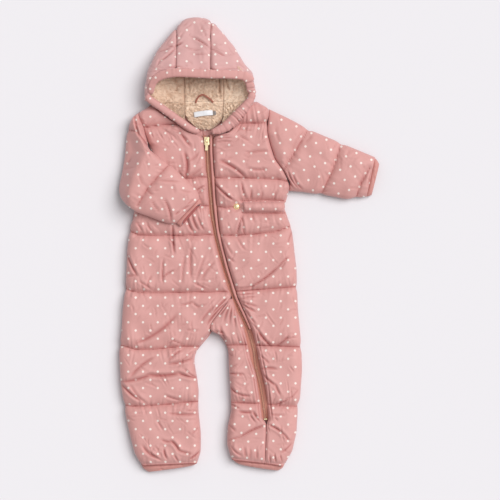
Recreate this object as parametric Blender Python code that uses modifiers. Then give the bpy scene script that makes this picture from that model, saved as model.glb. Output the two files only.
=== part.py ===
"""A baby's quilted snowsuit with a hood, laid flat on its back with its front upwards.

Head towards +Y, the wearer's left towards +X, the surface it lies on at Z = 0. Every padded cloth
piece is a wall between an outer and an inner surface. The back lies on the surface, the front lies
on the back, the right sleeve is folded over the chest, and the hood is a flattened pouch whose brow
stands up over its fleece lining. Tables and sizes are in millimetres.
"""

import bmesh
import bpy
import numpy as np

MM = 0.001
SUIT = "baby_snowsuit"

# Walls and layers
SEAM_GAP = 0.3
BACK_WALL = 9.0
FRONT_BASE = BACK_WALL + SEAM_GAP
FRONT_SEAM_WALL = 5.0
FRONT_CROWN_WALL = 15.0
EDGE_ROUND = 20.0
EDGE_WALL = 3.0
EDGE_ROUND_SHARE = 0.45
BACK_EDGE_LIFT = 5.0
HOOD_WALL = 9.0
LINING_GAP = 0.4
LINING_WALL = 5.5
LINING_SEAM = 2.5
SIDE_LINING_GAP = 2.2
SIDE_LINING_START = 0.75
SLEEVE_SLIT = 1.2
SLEEVE_EDGE_SHARE = 0.35
SLEEVE_OVER_BODY = 26.0
SLEEVE_OFF_BODY = 3.0
SLEEVE_DROP_START = 3.0
SLEEVE_DROP_RUN = 24.0
TUBE_FLATNESS = 3
SLIT_INSET = 6.0
SLIT_RISE = 0.15

# Outlines of the body, each a table of (y, x) from head to foot
RIGHT_SIDE = [
    (242.9, -170.5), (230.7, -192.5), (225.4, -193.0), (200.9, -184.5), (178.2, -175.0),
    (162.0, -172.0), (140.0, -183.0), (117.0, -194.0), (96.0, -200.0), (78.0, -202.0),
    (48.7, -200.5), (31.2, -208.3), (-9.0, -212.8), (-42.4, -213.9), (-75.6, -216.1),
    (-110.0, -220.5), (-154.0, -222.8), (-175.0, -226.5), (-193.0, -226.5), (-242.0, -224.0),
    (-291.0, -216.5), (-327.6, -209.0), (-364.4, -199.5), (-381.0, -190.0),
]
LEFT_SIDE = [
    (251.7, 9.5), (237.3, 35.7), (197.4, 31.5), (172.9, 37.6), (148.9, 45.5), (132.7, 57.8),
    (108.7, 71.8), (94.7, 70.0), (87.2, 67.7), (73.2, 63.0), (57.4, 63.0), (40.4, 70.0),
    (32.9, 73.9), (2.3, 77.9), (-42.4, 83.0), (-110.0, 85.2), (-175.4, 91.5), (-217.4, 92.8),
    (-266.4, 89.3), (-284.0, 85.4), (-327.6, 83.0), (-360.0, 75.6), (-382.0, 63.0),
]
ZIP_RIGHT_EDGE = [
    (192.0, -80.3), (185.2, -79.1), (160.7, -77.2), (130.9, -75.3), (115.2, -72.5), (87.2, -70.9),
    (55.7, -69.1), (29.4, -63.9), (8.4, -60.0), (-18.7, -53.4), (-46.7, -45.5), (-76.8, -36.8),
    (-89.6, -29.8), (-116.9, -22.1), (-136.0, -13.1), (-173.6, -5.3), (-202.8, 1.0),
    (-224.4, 8.8), (-246.6, 12.3), (-276.3, 16.8), (-304.5, 20.0),
]
ZIP_LEFT_EDGE = [
    (192.0, -63.0), (165.9, -63.0), (122.2, -60.0), (73.2, -56.7), (31.2, -52.2), (15.4, -49.7),
    (-10.9, -43.2), (-40.6, -35.4), (-68.6, -26.3), (-87.9, -21.0), (-101.9, -14.9),
    (-122.9, -5.3), (-154.4, 7.0), (-190.4, 15.2), (-215.6, 20.0), (-245.4, 27.7),
    (-268.1, 31.5), (-305.9, 34.0),
]
RISE_SEAM = [(-89.6, -29.8), (-112.0, -47.0), (-132.0, -63.0), (-144.0, -69.0), (-152.0, -67.0)]
RIGHT_LEG_INSIDE = [
    (-153.7, -68.0), (-180.6, -89.0), (-195.5, -97.5), (-227.3, -91.4), (-254.0, -87.5),
    (-284.0, -89.0), (-327.6, -84.0), (-360.0, -84.0), (-377.0, -89.0),
]
LEFT_LEG_INSIDE = [
    (-153.0, -60.0), (-158.6, -47.3), (-180.6, -36.1), (-217.4, -35.0), (-254.0, -32.4),
    (-291.0, -31.2), (-315.4, -37.3), (-347.7, -38.5), (-371.4, -31.5),
]
SHIN_SEAM = [(-309.0, 30.5), (-382.0, 28.0)]
RIGHT_NECK = [(242.5, -170.0), (193.6, -104.3), (192.6, -82.0)]
LEFT_NECK = [
    (251.0, 8.5), (246.0, 2.2), (233.0, -9.0), (219.0, -17.5), (200.5, -29.2), (193.0, -41.0),
    (192.0, -62.0),
]
CENTRE_BACK = [(249.5, -85.0), (0.0, -66.0), (-152.0, -62.0)]
BACK_NECK_Y = 249.5
BACK_RIGHT_NECK = (249.5, -165.0)
BACK_LEFT_NECK = (252.0, 8.0)
RISE_JOIN = 12
PLAIN_SEAM_GAP = 0.5

# Quilting rows, head to foot: height on the left and right border, and how full the wall is there
ROW_COLUMNS = ("y_left", "y_right", "fullness")
RIGHT_FRONT_ROWS = [
    (241.0, 241.0, 0.3), (232.0, 232.0, 0.7), (220.0, 221.0, 0.8), (209.0, 210.0, 0.0),
    (201.0, 201.0, 0.6), (193.0, 194.2, 0.8), (184.0, 191.8, 0.9), (166.0, 170.0, 1.0),
    (148.0, 148.0, 1.0), (127.0, 127.0, 0.8),
    (116.0, 116.0, 0.0), (105.0, 105.0, 0.8), (92.0, 92.0, 1.0), (78.0, 78.0, 0.8),
    (68.0, 68.0, 0.0), (58.0, 58.0, 0.8), (42.0, 42.0, 1.0), (31.0, 27.0, 0.8),
    (24.0, 17.0, 0.0), (12.0, 7.0, 0.8), (-20.0, -20.0, 1.0), (-45.0, -50.0, 1.0),
    (-66.0, -71.0, 0.8), (-76.0, -82.0, 0.0), (-88.0, -91.0, 0.8), (-125.0, -112.0, 1.0),
    (-140.0, -132.0, 1.0), (-152.0, -144.0, 1.0), (-165.0, -160.0, 0.8),
    (-176.0, -177.0, 0.0), (-188.0, -188.0, 0.8), (-215.0, -212.0, 1.0),
    (-244.0, -240.0, 1.0), (-269.0, -262.0, 0.8), (-280.0, -273.0, 0.0),
    (-292.0, -285.0, 0.8), (-320.0, -318.0, 1.0), (-350.0, -345.0, 1.0),
    (-370.0, -366.0, 0.7), (-380.0, -376.0, 0.1),
]
LEFT_FRONT_ROWS = [
    (249.0, 249.0, 0.3), (240.0, 240.0, 0.6), (225.0, 225.0, 0.8), (212.0, 212.0, 0.0),
    (204.0, 205.0, 0.6), (193.5, 195.0, 0.9), (191.6, 186.0, 1.0), (178.0, 170.0, 1.0),
    (155.0, 150.0, 1.0), (128.0, 124.0, 0.8),
    (117.0, 111.0, 0.0), (106.0, 101.0, 0.8), (91.0, 90.0, 1.0), (82.0, 84.0, 0.7),
    (76.0, 77.0, 0.3), (66.0, 66.0, 0.3), (56.0, 55.0, 0.3), (46.0, 48.0, 0.8),
    (34.0, 44.0, 1.0), (25.0, 40.0, 0.8), (16.0, 34.0, 0.0), (5.0, 22.0, 0.8),
    (-25.0, -15.0, 1.0), (-55.0, -48.0, 1.0), (-71.0, -63.0, 0.8), (-81.0, -73.0, 0.0),
    (-91.0, -84.0, 0.8), (-112.0, -110.0, 1.0), (-140.0, -140.0, 1.0), (-164.0, -167.0, 0.8),
    (-175.0, -178.0, 0.0), (-187.0, -190.0, 0.8), (-215.0, -216.0, 1.0), (-242.0, -244.0, 1.0),
    (-267.0, -269.0, 0.8), (-278.0, -280.0, 0.0), (-290.0, -292.0, 0.8), (-303.0, -306.0, 1.0),
    (-316.0, -322.0, 1.0), (-350.0, -352.0, 1.0), (-368.0, -370.0, 0.7), (-377.0, -381.0, 0.1),
]
INNER_FRONT_ROWS = [
    (-94.0, -94.0, 0.6), (-104.0, -104.0, 0.8), (-122.0, -122.0, 1.0), (-144.0, -140.0, 1.0),
    (-152.0, -152.0, 1.0), (-159.0, -158.0, 0.9), (-166.0, -164.0, 0.8), (-175.0, -174.0, 0.0),
    (-186.0, -185.0, 0.8), (-215.0, -213.0, 1.0), (-244.0, -242.0, 1.0), (-265.0, -266.0, 0.8),
    (-275.0, -276.5, 0.0), (-286.0, -288.0, 0.8), (-303.0, -304.0, 1.0), (-318.0, -318.0, 1.0),
    (-342.0, -345.0, 1.0), (-361.0, -366.0, 0.7), (-371.0, -377.0, 0.1),
]
BACK_ROW_STEP = 16.0
RIGHT_FRONT_COLUMNS = 10
LEFT_FRONT_COLUMNS = 9
INNER_FRONT_COLUMNS = 6
RIGHT_BACK_COLUMNS = 6
LEFT_BACK_COLUMNS = 7
RIGHT_BACK_END = (-380.0, -376.0)
LEFT_BACK_END = (-371.0, -381.0)

# The stretched left sleeve and the folded right sleeve, one row for each section from shoulder to
# cuff: the two edges in plan, how much of the armhole's curve is left, the height, and how far it
# has climbed onto the body
SLEEVE_COLUMNS = ("ax", "ay", "bx", "by", "curve", "height", "lift")
HALF_TUBE_POINTS = 9
LEFT_ARMHOLE = [
    (37.0, 236.5), (33.2, 197.4), (39.4, 172.9), (47.4, 148.9), (59.6, 132.7), (73.4, 108.7),
    (72.0, 94.0),
]
LEFT_SLEEVE = [
    (37.0, 236.5, 72.0, 94.0, 1.0, 24.0, 0.0),
    (47.0, 231.5, 76.0, 93.8, 0.8, 26.0, 0.0),
    (62.0, 224.0, 84.0, 93.0, 0.55, 27.0, 0.0),
    (80.0, 215.0, 95.0, 92.0, 0.35, 25.0, 0.0),
    (100.0, 203.5, 108.0, 90.0, 0.15, 22.0, 0.0),
    (122.0, 194.0, 123.0, 88.0, 0.0, 27.0, 0.0),
    (146.0, 184.0, 138.0, 85.5, 0.0, 27.0, 0.0),
    (168.0, 174.5, 154.0, 82.5, 0.0, 23.0, 0.0),
    (190.0, 165.5, 170.0, 79.6, 0.0, 27.0, 0.0),
    (208.0, 158.0, 188.0, 81.0, 0.0, 26.0, 0.0),
    (220.0, 153.0, 205.0, 84.0, 0.0, 22.0, 0.0),
]
LEFT_CUFF = [
    (220.6, 152.6, 205.6, 84.1, 0.0, 20.0, 0.0),
    (225.0, 147.0, 210.0, 85.0, 0.0, 19.0, 0.0),
    (227.5, 140.0, 214.0, 86.5, 0.0, 15.0, 0.0),
]
RIGHT_SLEEVE = [
    (-197.5, 229.8, -182.0, 183.0, 0.0, 20.0, 0.0),
    (-207.5, 218.5, -178.0, 173.0, 0.0, 21.0, 0.5),
    (-213.0, 199.0, -171.5, 164.0, 0.0, 21.0, 0.9),
    (-214.5, 178.0, -163.0, 157.0, 0.0, 22.0, 1.0),
    (-217.0, 152.0, -153.0, 149.5, 0.0, 23.0, 1.0),
    (-221.5, 126.0, -143.5, 143.0, 0.0, 23.0, 1.0),
    (-227.5, 98.0, -134.0, 136.0, 0.0, 23.0, 1.0),
    (-224.0, 82.0, -126.0, 129.0, 0.0, 22.0, 1.0),
    (-212.0, 68.0, -117.5, 120.5, 0.0, 21.0, 1.0),
    (-194.5, 56.0, -108.5, 112.5, 0.0, 21.0, 1.0),
    (-175.0, 49.5, -100.0, 104.5, 0.0, 21.0, 1.0),
    (-154.0, 41.0, -91.0, 96.0, 0.0, 20.0, 1.0),
    (-137.0, 36.0, -86.5, 86.5, 0.0, 18.0, 1.0),
    (-126.5, 37.5, -85.5, 80.5, 0.0, 15.0, 1.0),
]
RIGHT_CUFF = [
    (-125.5, 37.2, -84.8, 79.6, 0.0, 14.0, 1.0),
    (-121.5, 34.0, -83.0, 75.5, 0.0, 14.0, 1.0),
    (-119.0, 31.5, -82.5, 72.0, 0.0, 12.0, 1.0),
]

# Leg ends: bindings round the hems, as flattened tubes from the leg downwards
RIGHT_HEM = [
    (-190.0, -381.4, -89.0, -377.4, 0.0, 19.0, 0.0),
    (-184.0, -391.0, -92.0, -382.5, 0.0, 18.0, 0.0),
    (-175.5, -396.7, -98.5, -386.0, 0.0, 13.0, 0.0),
]
LEFT_HEM = [
    (-31.0, -372.2, 62.5, -382.4, 0.0, 19.0, 0.0),
    (-24.0, -379.5, 59.0, -389.5, 0.0, 18.0, 0.0),
    (-15.0, -384.5, 51.0, -394.5, 0.0, 13.0, 0.0),
]

# Hood: one row for each section across a side panel, head to neck: y, x and z of the front edge, and
# x of the outline
HOOD_RIGHT = [
    (374.0, -126.2, 27.0, -129.5), (360.0, -126.7, 31.0, -143.5),
    (346.0, -127.2, 35.0, -155.0), (330.0, -127.7, 40.0, -163.5),
    (316.0, -128.2, 44.0, -169.5), (304.0, -129.0, 48.0, -173.7),
    (302.0, -141.0, 47.0, -174.5), (299.5, -153.5, 46.0, -175.5),
    (294.0, -162.5, 44.0, -176.7), (287.0, -169.0, 42.0, -178.0),
    (276.0, -171.5, 38.0, -180.7), (262.0, -172.0, 35.0, -182.6),
    (250.5, -170.0, 33.0, -181.5),
]
HOOD_LEFT = [
    (386.0, -64.2, 27.0, -61.0), (364.0, -65.2, 31.5, -40.5),
    (352.0, -65.7, 34.5, -31.5), (340.0, -66.0, 38.0, -24.0),
    (318.0, -66.3, 44.0, -9.5), (303.5, -66.5, 48.5, 2.0),
    (302.0, -48.0, 48.0, 3.5), (300.5, -25.0, 46.0, 4.5),
    (298.0, -6.0, 43.5, 6.0), (294.0, 2.0, 42.0, 7.5),
    (283.0, 3.0, 40.0, 9.7), (270.0, 3.5, 37.0, 11.6),
    (258.0, 1.5, 34.0, 10.5), (250.5, -2.0, 33.0, 7.5),
]
SIDE_FOOT = 14.0
SIDE_FOOT_SHARE = 0.7
SIDE_FOOT_INSET = 0.3
SIDE_FOOT_TO_BACK = 0.4
SIDE_MIDDLE = 0.45
SIDE_SWELL = 0.8
SIDE_STEPS = 6
SIDE_BACK_STEPS = 4
HOOD_TOP = 396.9
HOOD_BEND = 13.0
HOOD_INNER_BEND = 4.0
BROW_Y = (304.5, 301.0)
BROW_HEIGHT = 50.0
CENTRE_FRONT = (-125.8, -66.8)
CENTRE_BACK_X = (-114.7, -41.8)
CENTRE_SPREAD = 50.0
SIDE_SEAM_GAP = 1.6
CENTRE_TOP_DROP = (21.0, 9.0)
CENTRE_TOP_CURVE = 6
CENTRE_COLUMNS = 7
CENTRE_ROWS = 6
BEND_ROWS = 7
CROWN_CURVE = 1.2

# Strips along the hood's edge: x, y and z of the middle line, half width and half height
STRIP_SIDES = 10
STRIP_FLATNESS = 0.8
BROW_BAND = [
    (-164.5, 279.5, 40.0, 4.5, 5.0), (-161.0, 285.0, 43.0, 5.5, 5.5),
    (-149.5, 292.2, 46.5, 6.0, 6.0), (-138.5, 295.2, 49.0, 6.2, 6.0),
    (-126.0, 297.0, 51.0, 6.2, 6.0), (-103.0, 296.0, 52.5, 6.2, 6.0),
    (-84.0, 294.8, 52.5, 6.2, 6.0), (-66.0, 293.8, 52.0, 6.2, 6.0),
    (-44.0, 293.8, 50.5, 6.2, 6.0), (-25.0, 292.8, 47.5, 6.0, 6.0),
    (-10.0, 290.3, 45.0, 5.5, 5.5), (-5.0, 285.0, 42.0, 4.5, 5.0),
]
RIGHT_EDGE = [
    (-163.5, 247.0, 31.5, 5.0, 6.5), (-152.0, 238.6, 30.5, 6.2, 6.5),
    (-134.0, 225.4, 29.0, 6.3, 6.5), (-116.0, 212.2, 27.5, 6.3, 6.5),
    (-100.0, 201.0, 26.5, 6.0, 6.5), (-86.0, 197.0, 26.0, 4.0, 5.5),
]
LEFT_EDGE = [
    (0.5, 246.5, 31.5, 4.0, 6.0), (-8.0, 240.0, 31.0, 4.7, 6.5), (-18.0, 228.5, 30.0, 7.0, 7.0),
    (-30.0, 214.5, 29.0, 8.3, 7.0), (-42.0, 204.5, 28.0, 8.0, 7.0),
    (-54.0, 198.8, 27.0, 6.0, 6.5), (-64.0, 197.5, 26.0, 4.0, 5.5),
]

# Lining in the neck, and the pieces sewn to it
LINING_COLUMNS = 6
LINING_ROWS = 9
SIDE_LINING_STEPS = 5
NECK_LINING_ROWS = [
    (249.8, -111.9, -44.6), (236.0, -111.9, -44.6), (224.0, -111.0, -44.8),
    (214.0, -104.0, -50.0), (206.0, -94.0, -58.0), (201.0, -84.0, -68.0),
]
CENTRE_LINING_Y = (250.4, 358.0)
SIDE_LINING_TOP = 346.0
RIGHT_FLAP_ROWS = [
    (249.9, -163.0, -112.7), (243.0, -152.0, -112.7), (232.0, -138.0, -112.7),
    (222.0, -124.0, -112.7), (215.5, -115.5, -112.9),
]
LEFT_FLAP_ROWS = [
    (249.9, -4.0, -43.8), (243.0, -10.0, -43.8), (232.0, -18.0, -43.8), (222.0, -29.0, -43.8),
    (214.0, -41.0, -48.0),
]
LOOP_PATH = [
    (-93.0, 247.0, 17.2), (-91.0, 254.0, 18.2), (-85.0, 260.0, 19.0), (-80.0, 261.8, 19.3),
    (-74.0, 258.0, 19.0), (-66.0, 252.5, 18.2), (-62.5, 248.0, 17.2),
]
LOOP_HALF_WIDTH = 1.7
LOOP_HALF_HEIGHT = 0.9
LOOP_SIDES = 6
LABEL_SIZE = (33.0, 9.0, 0.8)
LABEL_PLACE = (-79.5, 228.5, 17.6)
LABEL_TURN = 6.0
LABEL_BEVEL = 0.2
TAB_SIZE = (4.6, 7.0, 0.8)
TAB_PLACE = (-59.6, 229.5, 17.6)

# Zip
COIL_LINE = [
    (172.9, -72.8), (130.9, -71.8), (106.4, -69.0), (78.4, -66.5), (52.2, -64.0), (17.2, -57.6),
    (-12.6, -50.0), (-44.0, -41.0), (-72.1, -31.5), (-89.6, -26.0), (-112.4, -17.0),
    (-132.5, -8.2), (-142.1, -3.5), (-162.2, 2.6), (-184.1, 8.3), (-212.1, 11.5),
    (-232.6, 17.0), (-249.7, 20.7), (-266.9, 23.5), (-301.4, 28.3),
]
COIL_HALF = 1.7
TAPE_BASE = FRONT_BASE + SEAM_GAP
TAPE_WALL = 3.0
TAPE_SIDE_GAP = 1.0
TAPE_TOP_Y = 191.0
TAPE_END_Y = -305.0
ZIP_STEP = 12.4
COIL_TOP_Y = 171.0
COIL_HEIGHT = 2.2
WELT_LINE = [
    (190.0, -66.3), (165.9, -66.3), (122.2, -63.4), (73.2, -60.1), (31.2, -55.6),
    (15.4, -53.0), (-10.9, -46.4), (-40.6, -38.8), (-68.6, -29.8), (-87.9, -24.2),
    (-101.9, -18.2), (-116.9, -11.0), (-136.0, -2.0), (-146.0, 1.8),
]
WELT_RADIUS = 2.2
WELT_ROWS = 32
ROD_SIDES = 8
SLIDER_MIDDLE = (-73.8, 180.7)
SLIDER_SIZE = (9.0, 14.6, 3.2)
SLIDER_BASE = 15.7
SLIDER_BEVEL = 0.8
BRIDGE_SINK = 1.0
BRIDGE_LEGS = (178.6, 184.5)
BRIDGE_RISE = 3.9
BRIDGE_ROUND = 1.3
BRIDGE_RADIUS = 0.7
PULL_AXIS_Y = 181.2
PULL_AXIS_Z = 20.2
PULL_WALL = 1.2
PULL_EYE = 1.9
PULL_RIM = 1.3
PULL_LENGTH = 17.0
PULL_HEAD_TURNS = np.radians(np.arange(-20, 201, 20))
PULL_EYE_TURNS = np.radians(np.arange(0, 360, 24))
PULL_TONGUE = [(-2.1, 5.0), (-2.7, 2.0), (-1.7, 0.0), (1.7, 0.0), (2.7, 2.0), (2.1, 5.0)]
STOP_MIDDLE = (28.9, -304.0)
STOP_SIZE = (6.0, 2.6, 2.6)
STOP_BEVEL = 0.5
SNAP_PLACE = (-21.5, 66.5)
SNAP_PROFILE = [
    (0.0, 2.6), (2.2, 2.4), (3.7, 1.7), (4.4, 1.0), (4.7, 1.3), (5.0, 0.9), (5.0, 0.0), (0.0, 0.0),
]
SNAP_STEPS = 28
SNAP_REACH = 12.0

# Waist casing on the wearer's left, over three rows of the front panel from one column outwards
CASING_ROWS = slice(14, 17)
CASING_FIRST_COLUMN = 3
CASING_WALL = 3.0

PINK = (0.70, 0.38, 0.34)
PLAIN = (0.66, 0.33, 0.30)
FLEECE = (0.72, 0.52, 0.36)
TAPE = (0.45, 0.20, 0.14)
GOLD = (0.83, 0.58, 0.24)
RIBBON = (0.36, 0.13, 0.08)
WHITE = (0.80, 0.79, 0.78)
GREY = (0.25, 0.23, 0.22)
CLOTH_ROUGHNESS = 0.8
COIL_ROUGHNESS = 0.45
COIL_METALLIC = 0.6
METAL_ROUGHNESS = 0.3
WELD = 1e-6
SCREW_WELD = 1e-5


def clear_scene():
    for old in list(bpy.data.objects):
        bpy.data.objects.remove(old, do_unlink=True)


def new_collection(name):
    group = bpy.data.collections.new(name)
    bpy.context.scene.collection.children.link(group)
    return group


def finish_of(name, colour, roughness=CLOTH_ROUGHNESS, metallic=0.0):
    """The material called name, made the first time it is asked for."""
    material = bpy.data.materials.get(name)
    if material is None:
        material = bpy.data.materials.new(name)
        material.use_nodes = True
        shader = material.node_tree.nodes["Principled BSDF"]
        shader.inputs["Base Color"].default_value = (*colour, 1.0)
        shader.inputs["Roughness"].default_value = roughness
        shader.inputs["Metallic"].default_value = metallic
    return material


def place(name, mesh, material, parent=None):
    """A new object for a mesh in the suit's collection."""
    piece = bpy.data.objects.new(name, mesh)
    mesh.materials.clear()
    mesh.materials.append(material)
    bpy.data.collections[SUIT].objects.link(piece)
    if parent is not None:
        piece.parent = parent
        piece.location = -parent.location
    return piece


def closed_mesh(name, points, faces):
    """A mesh of millimetre points as metres, its faces turned outwards."""
    mesh = bpy.data.meshes.new(name)
    mesh.from_pydata([tuple(p) for p in np.asarray(points) * MM], [], faces)
    work = bmesh.new()
    work.from_mesh(mesh)
    bmesh.ops.recalc_face_normals(work, faces=work.faces)
    work.to_mesh(mesh)
    work.free()
    mesh.shade_smooth()
    return mesh


def column(table, names, name):
    return np.array([row[names.index(name)] for row in table])


def across(border, y):
    """The x of a border given as (y, x) points from head to foot."""
    points = np.array(border)[::-1]
    return np.interp(y, points[:, 0], points[:, 1])


def wall(name, outer, inner, material, ring=False):
    """A closed wall between two grids of points; with ring, each row of points closes on itself."""
    rows, count = outer.shape[:2]
    points = np.concatenate([outer.reshape(-1, 3), inner.reshape(-1, 3)])
    shift = rows * count
    faces = []
    spans = count if ring else count - 1
    for i in range(rows - 1):
        for j in range(spans):
            k = (j + 1) % count
            quad = (i * count + j, i * count + k, (i + 1) * count + k, (i + 1) * count + j)
            faces.append(quad)
            faces.append(tuple(shift + p for p in reversed(quad)))
    for i in (0, rows - 1):
        for j in range(spans):
            a = i * count + j
            b = i * count + (j + 1) % count
            faces.append((a, b, shift + b, shift + a))
    if not ring:
        for j in (0, count - 1):
            for i in range(rows - 1):
                a = i * count + j
                b = (i + 1) * count + j
                faces.append((a, b, shift + b, shift + a))
    return place(name, closed_mesh(name, points, faces), material)


def rounding(distance, reach):
    """0 at an edge and 1 from reach inwards, along a quarter of a circle."""
    near = np.clip(distance / reach, 0.0, 1.0)
    return np.sqrt(1.0 - (1.0 - near) ** 2)


def panel_plan(left, right, rows, count):
    """Points of a panel in plan, its rows between two borders, with the fullness of each row."""
    y_left = column(rows, ROW_COLUMNS, "y_left")
    y_right = column(rows, ROW_COLUMNS, "y_right")
    fullness = column(rows, ROW_COLUMNS, "fullness")
    share = 0.5 - 0.5 * np.cos(np.linspace(0.0, np.pi, count))
    share = 0.5 * share + 0.5 * np.linspace(0.0, 1.0, count)
    x_left = across(left, y_left)
    x_right = across(right, y_right)
    x = x_left[:, None] + (x_right - x_left)[:, None] * share
    y = y_left[:, None] + (y_right - y_left)[:, None] * share
    return x, y, np.repeat(fullness[:, None], count, axis=1)


def front_panel(name, left, right, rows, count):
    """A padded front panel: thick between its quilting rows, low along them, round at the sides."""
    x, y, fullness = panel_plan(left, right, rows, count)
    width = (x[:, -1] - x[:, 0])[:, None]
    reach = np.minimum(EDGE_ROUND, EDGE_ROUND_SHARE * width)
    swell = rounding(x - x[:, :1], reach) * rounding(x[:, -1:] - x, reach)
    thick = FRONT_SEAM_WALL + (FRONT_CROWN_WALL - FRONT_SEAM_WALL) * fullness
    outer = EDGE_WALL + (thick - EDGE_WALL) * swell
    top = np.stack([x, y, FRONT_BASE + outer], axis=-1)
    low = np.stack([x, y, np.full_like(x, FRONT_BASE)], axis=-1)
    wall(name, top, low, finish_of("quilted_shell", PINK))
    return top


def back_panel(name, left, right, end, count, outline_column):
    """A plain padded back panel, flat underneath and lifted along the suit's outline."""
    y_first = np.arange(BACK_NECK_Y, max(end) + 0.5 * BACK_ROW_STEP, -BACK_ROW_STEP)
    rows = [(y, y, 1.0) for y in y_first] + [(end[0], end[1], 1.0)]
    x, y, _ = panel_plan(left, right, rows, count)
    top = np.stack([x, y, np.full_like(x, BACK_WALL)], axis=-1)
    low = np.stack([x, y, np.zeros_like(x)], axis=-1)
    low[:, outline_column, 2] = BACK_EDGE_LIFT
    wall(name, top, low, finish_of("quilted_shell", PINK))


def smooth_step(value):
    t = np.clip(value, 0.0, 1.0)
    return t * t * (3.0 - 2.0 * t)


def flat_tube(name, sections, material, armhole=None):
    """A flattened tube of padded cloth, open at both ends, with a slit of a hollow inside."""
    edge_a = np.stack([column(sections, SLEEVE_COLUMNS, c) for c in ("ax", "ay")], axis=-1)
    edge_b = np.stack([column(sections, SLEEVE_COLUMNS, c) for c in ("bx", "by")], axis=-1)
    curve = column(sections, SLEEVE_COLUMNS, "curve")
    height = column(sections, SLEEVE_COLUMNS, "height")[:, None]
    lift = column(sections, SLEEVE_COLUMNS, "lift")[:, None]
    turn = np.linspace(0.0, np.pi, HALF_TUBE_POINTS)
    share_top = 0.5 - 0.5 * np.cos(turn)
    share = np.concatenate([share_top, share_top[-2:0:-1]])
    on_top = np.concatenate([np.ones(HALF_TUBE_POINTS), -np.ones(HALF_TUBE_POINTS - 2)])
    width = np.linalg.norm(edge_b - edge_a, axis=1)[:, None]

    def ring_points(inset, slit):
        s = inset / width + (1.0 - 2.0 * inset / width) * share
        plan = edge_a[:, None] + (edge_b - edge_a)[:, None] * s[..., None]
        if armhole is not None:
            line = np.array(armhole)
            along = np.linspace(0.0, 1.0, len(line))
            chord = line[0] + (line[-1] - line[0]) * along[:, None]
            for axis in (0, 1):
                bend = np.interp(s.ravel(), along, (line - chord)[:, axis]).reshape(s.shape)
                plan[..., axis] += curve[:, None] * bend
        outline = across(RIGHT_SIDE, plan[..., 1])
        past = plan[..., 0] - (outline - SLEEVE_DROP_START - SLEEVE_DROP_RUN)
        rise = SLEEVE_OVER_BODY - SLEEVE_OFF_BODY
        on_top_of_body = smooth_step(past / SLEEVE_DROP_RUN)
        low = np.where(lift > 0.0, SLEEVE_OFF_BODY + rise * on_top_of_body * lift, 0.0)
        swell = np.sqrt(1.0 - np.abs(2.0 * share - 1.0) ** TUBE_FLATNESS)
        middle = low + SLEEVE_EDGE_SHARE * height
        if slit:
            z = middle + SLIT_RISE * height * swell + SLEEVE_SLIT * on_top * swell
        else:
            up = (1.0 - SLEEVE_EDGE_SHARE) * height * swell
            down = SLEEVE_EDGE_SHARE * height * swell
            z = np.where(on_top > 0, middle + up, middle - down)
        return np.concatenate([plan, z[..., None]], axis=-1)

    outer = ring_points(0.0, False)
    inner = ring_points(SLIT_INSET, True)
    wall(name, outer, inner, material, ring=True)


def back_seam(y, side):
    """The x of the centre strip's seam on the back; side 0 is the wearer's right."""
    share = smooth_step((HOOD_TOP - HOOD_BEND - y) / CENTRE_SPREAD)
    return CENTRE_FRONT[side] + (CENTRE_BACK_X[side] - CENTRE_FRONT[side]) * share


def side_profile(row, inset, floor, steps, start=0.0, past_seam=-SIDE_SEAM_GAP):
    """Section of a hood side panel, from its front edge over the outline and under to the back."""
    y, x_front, z_front, x_side = row
    lip = abs(x_front - x_side)
    inward = np.sign(x_front - x_side)
    x_back = back_seam(y, 0 if inward > 0 else 1) + inward * past_seam
    side_inset = inset * min(1.0, lip / (2.0 * HOOD_WALL))
    side = x_side + inward * side_inset
    reach = min(SIDE_FOOT, SIDE_FOOT_SHARE * abs(x_back - x_side)) + SIDE_FOOT_INSET * inset
    foot = inward * min(inward * x_side + reach, inward * x_back - SIDE_FOOT_TO_BACK)
    middle = SIDE_MIDDLE * z_front
    top_turn = np.linspace(start, 1.0, steps) * np.pi / 2
    low_turn = np.linspace(0.0, 1.0, steps)[1:] * np.pi / 2
    top_x = x_front + (side - x_front) * np.sin(top_turn) ** SIDE_SWELL
    top_z = middle + (z_front - inset - middle) * np.cos(top_turn).clip(0.0) ** SIDE_SWELL
    low_x = foot + (side - foot) * np.cos(low_turn).clip(0.0) ** SIDE_SWELL
    low_z = floor + (middle - floor) * (1.0 - np.sin(low_turn) ** SIDE_SWELL)
    run = np.linspace(0.0, 1.0, SIDE_BACK_STEPS)[1:]
    run_x = foot + (x_back - foot) * run
    run_z = np.full_like(run_x, floor)
    x = np.concatenate([top_x, low_x, run_x])
    z = np.concatenate([top_z, low_z, run_z])
    return np.stack([x, np.full_like(x, y), z], axis=-1)


def hood_side(name, rows):
    outer = np.array([side_profile(row, 0.0, 0.0, SIDE_STEPS) for row in rows])
    inner = np.array([side_profile(row, HOOD_WALL, HOOD_WALL, SIDE_STEPS) for row in rows])
    wall(name, outer, inner, finish_of("quilted_shell", PINK))


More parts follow.
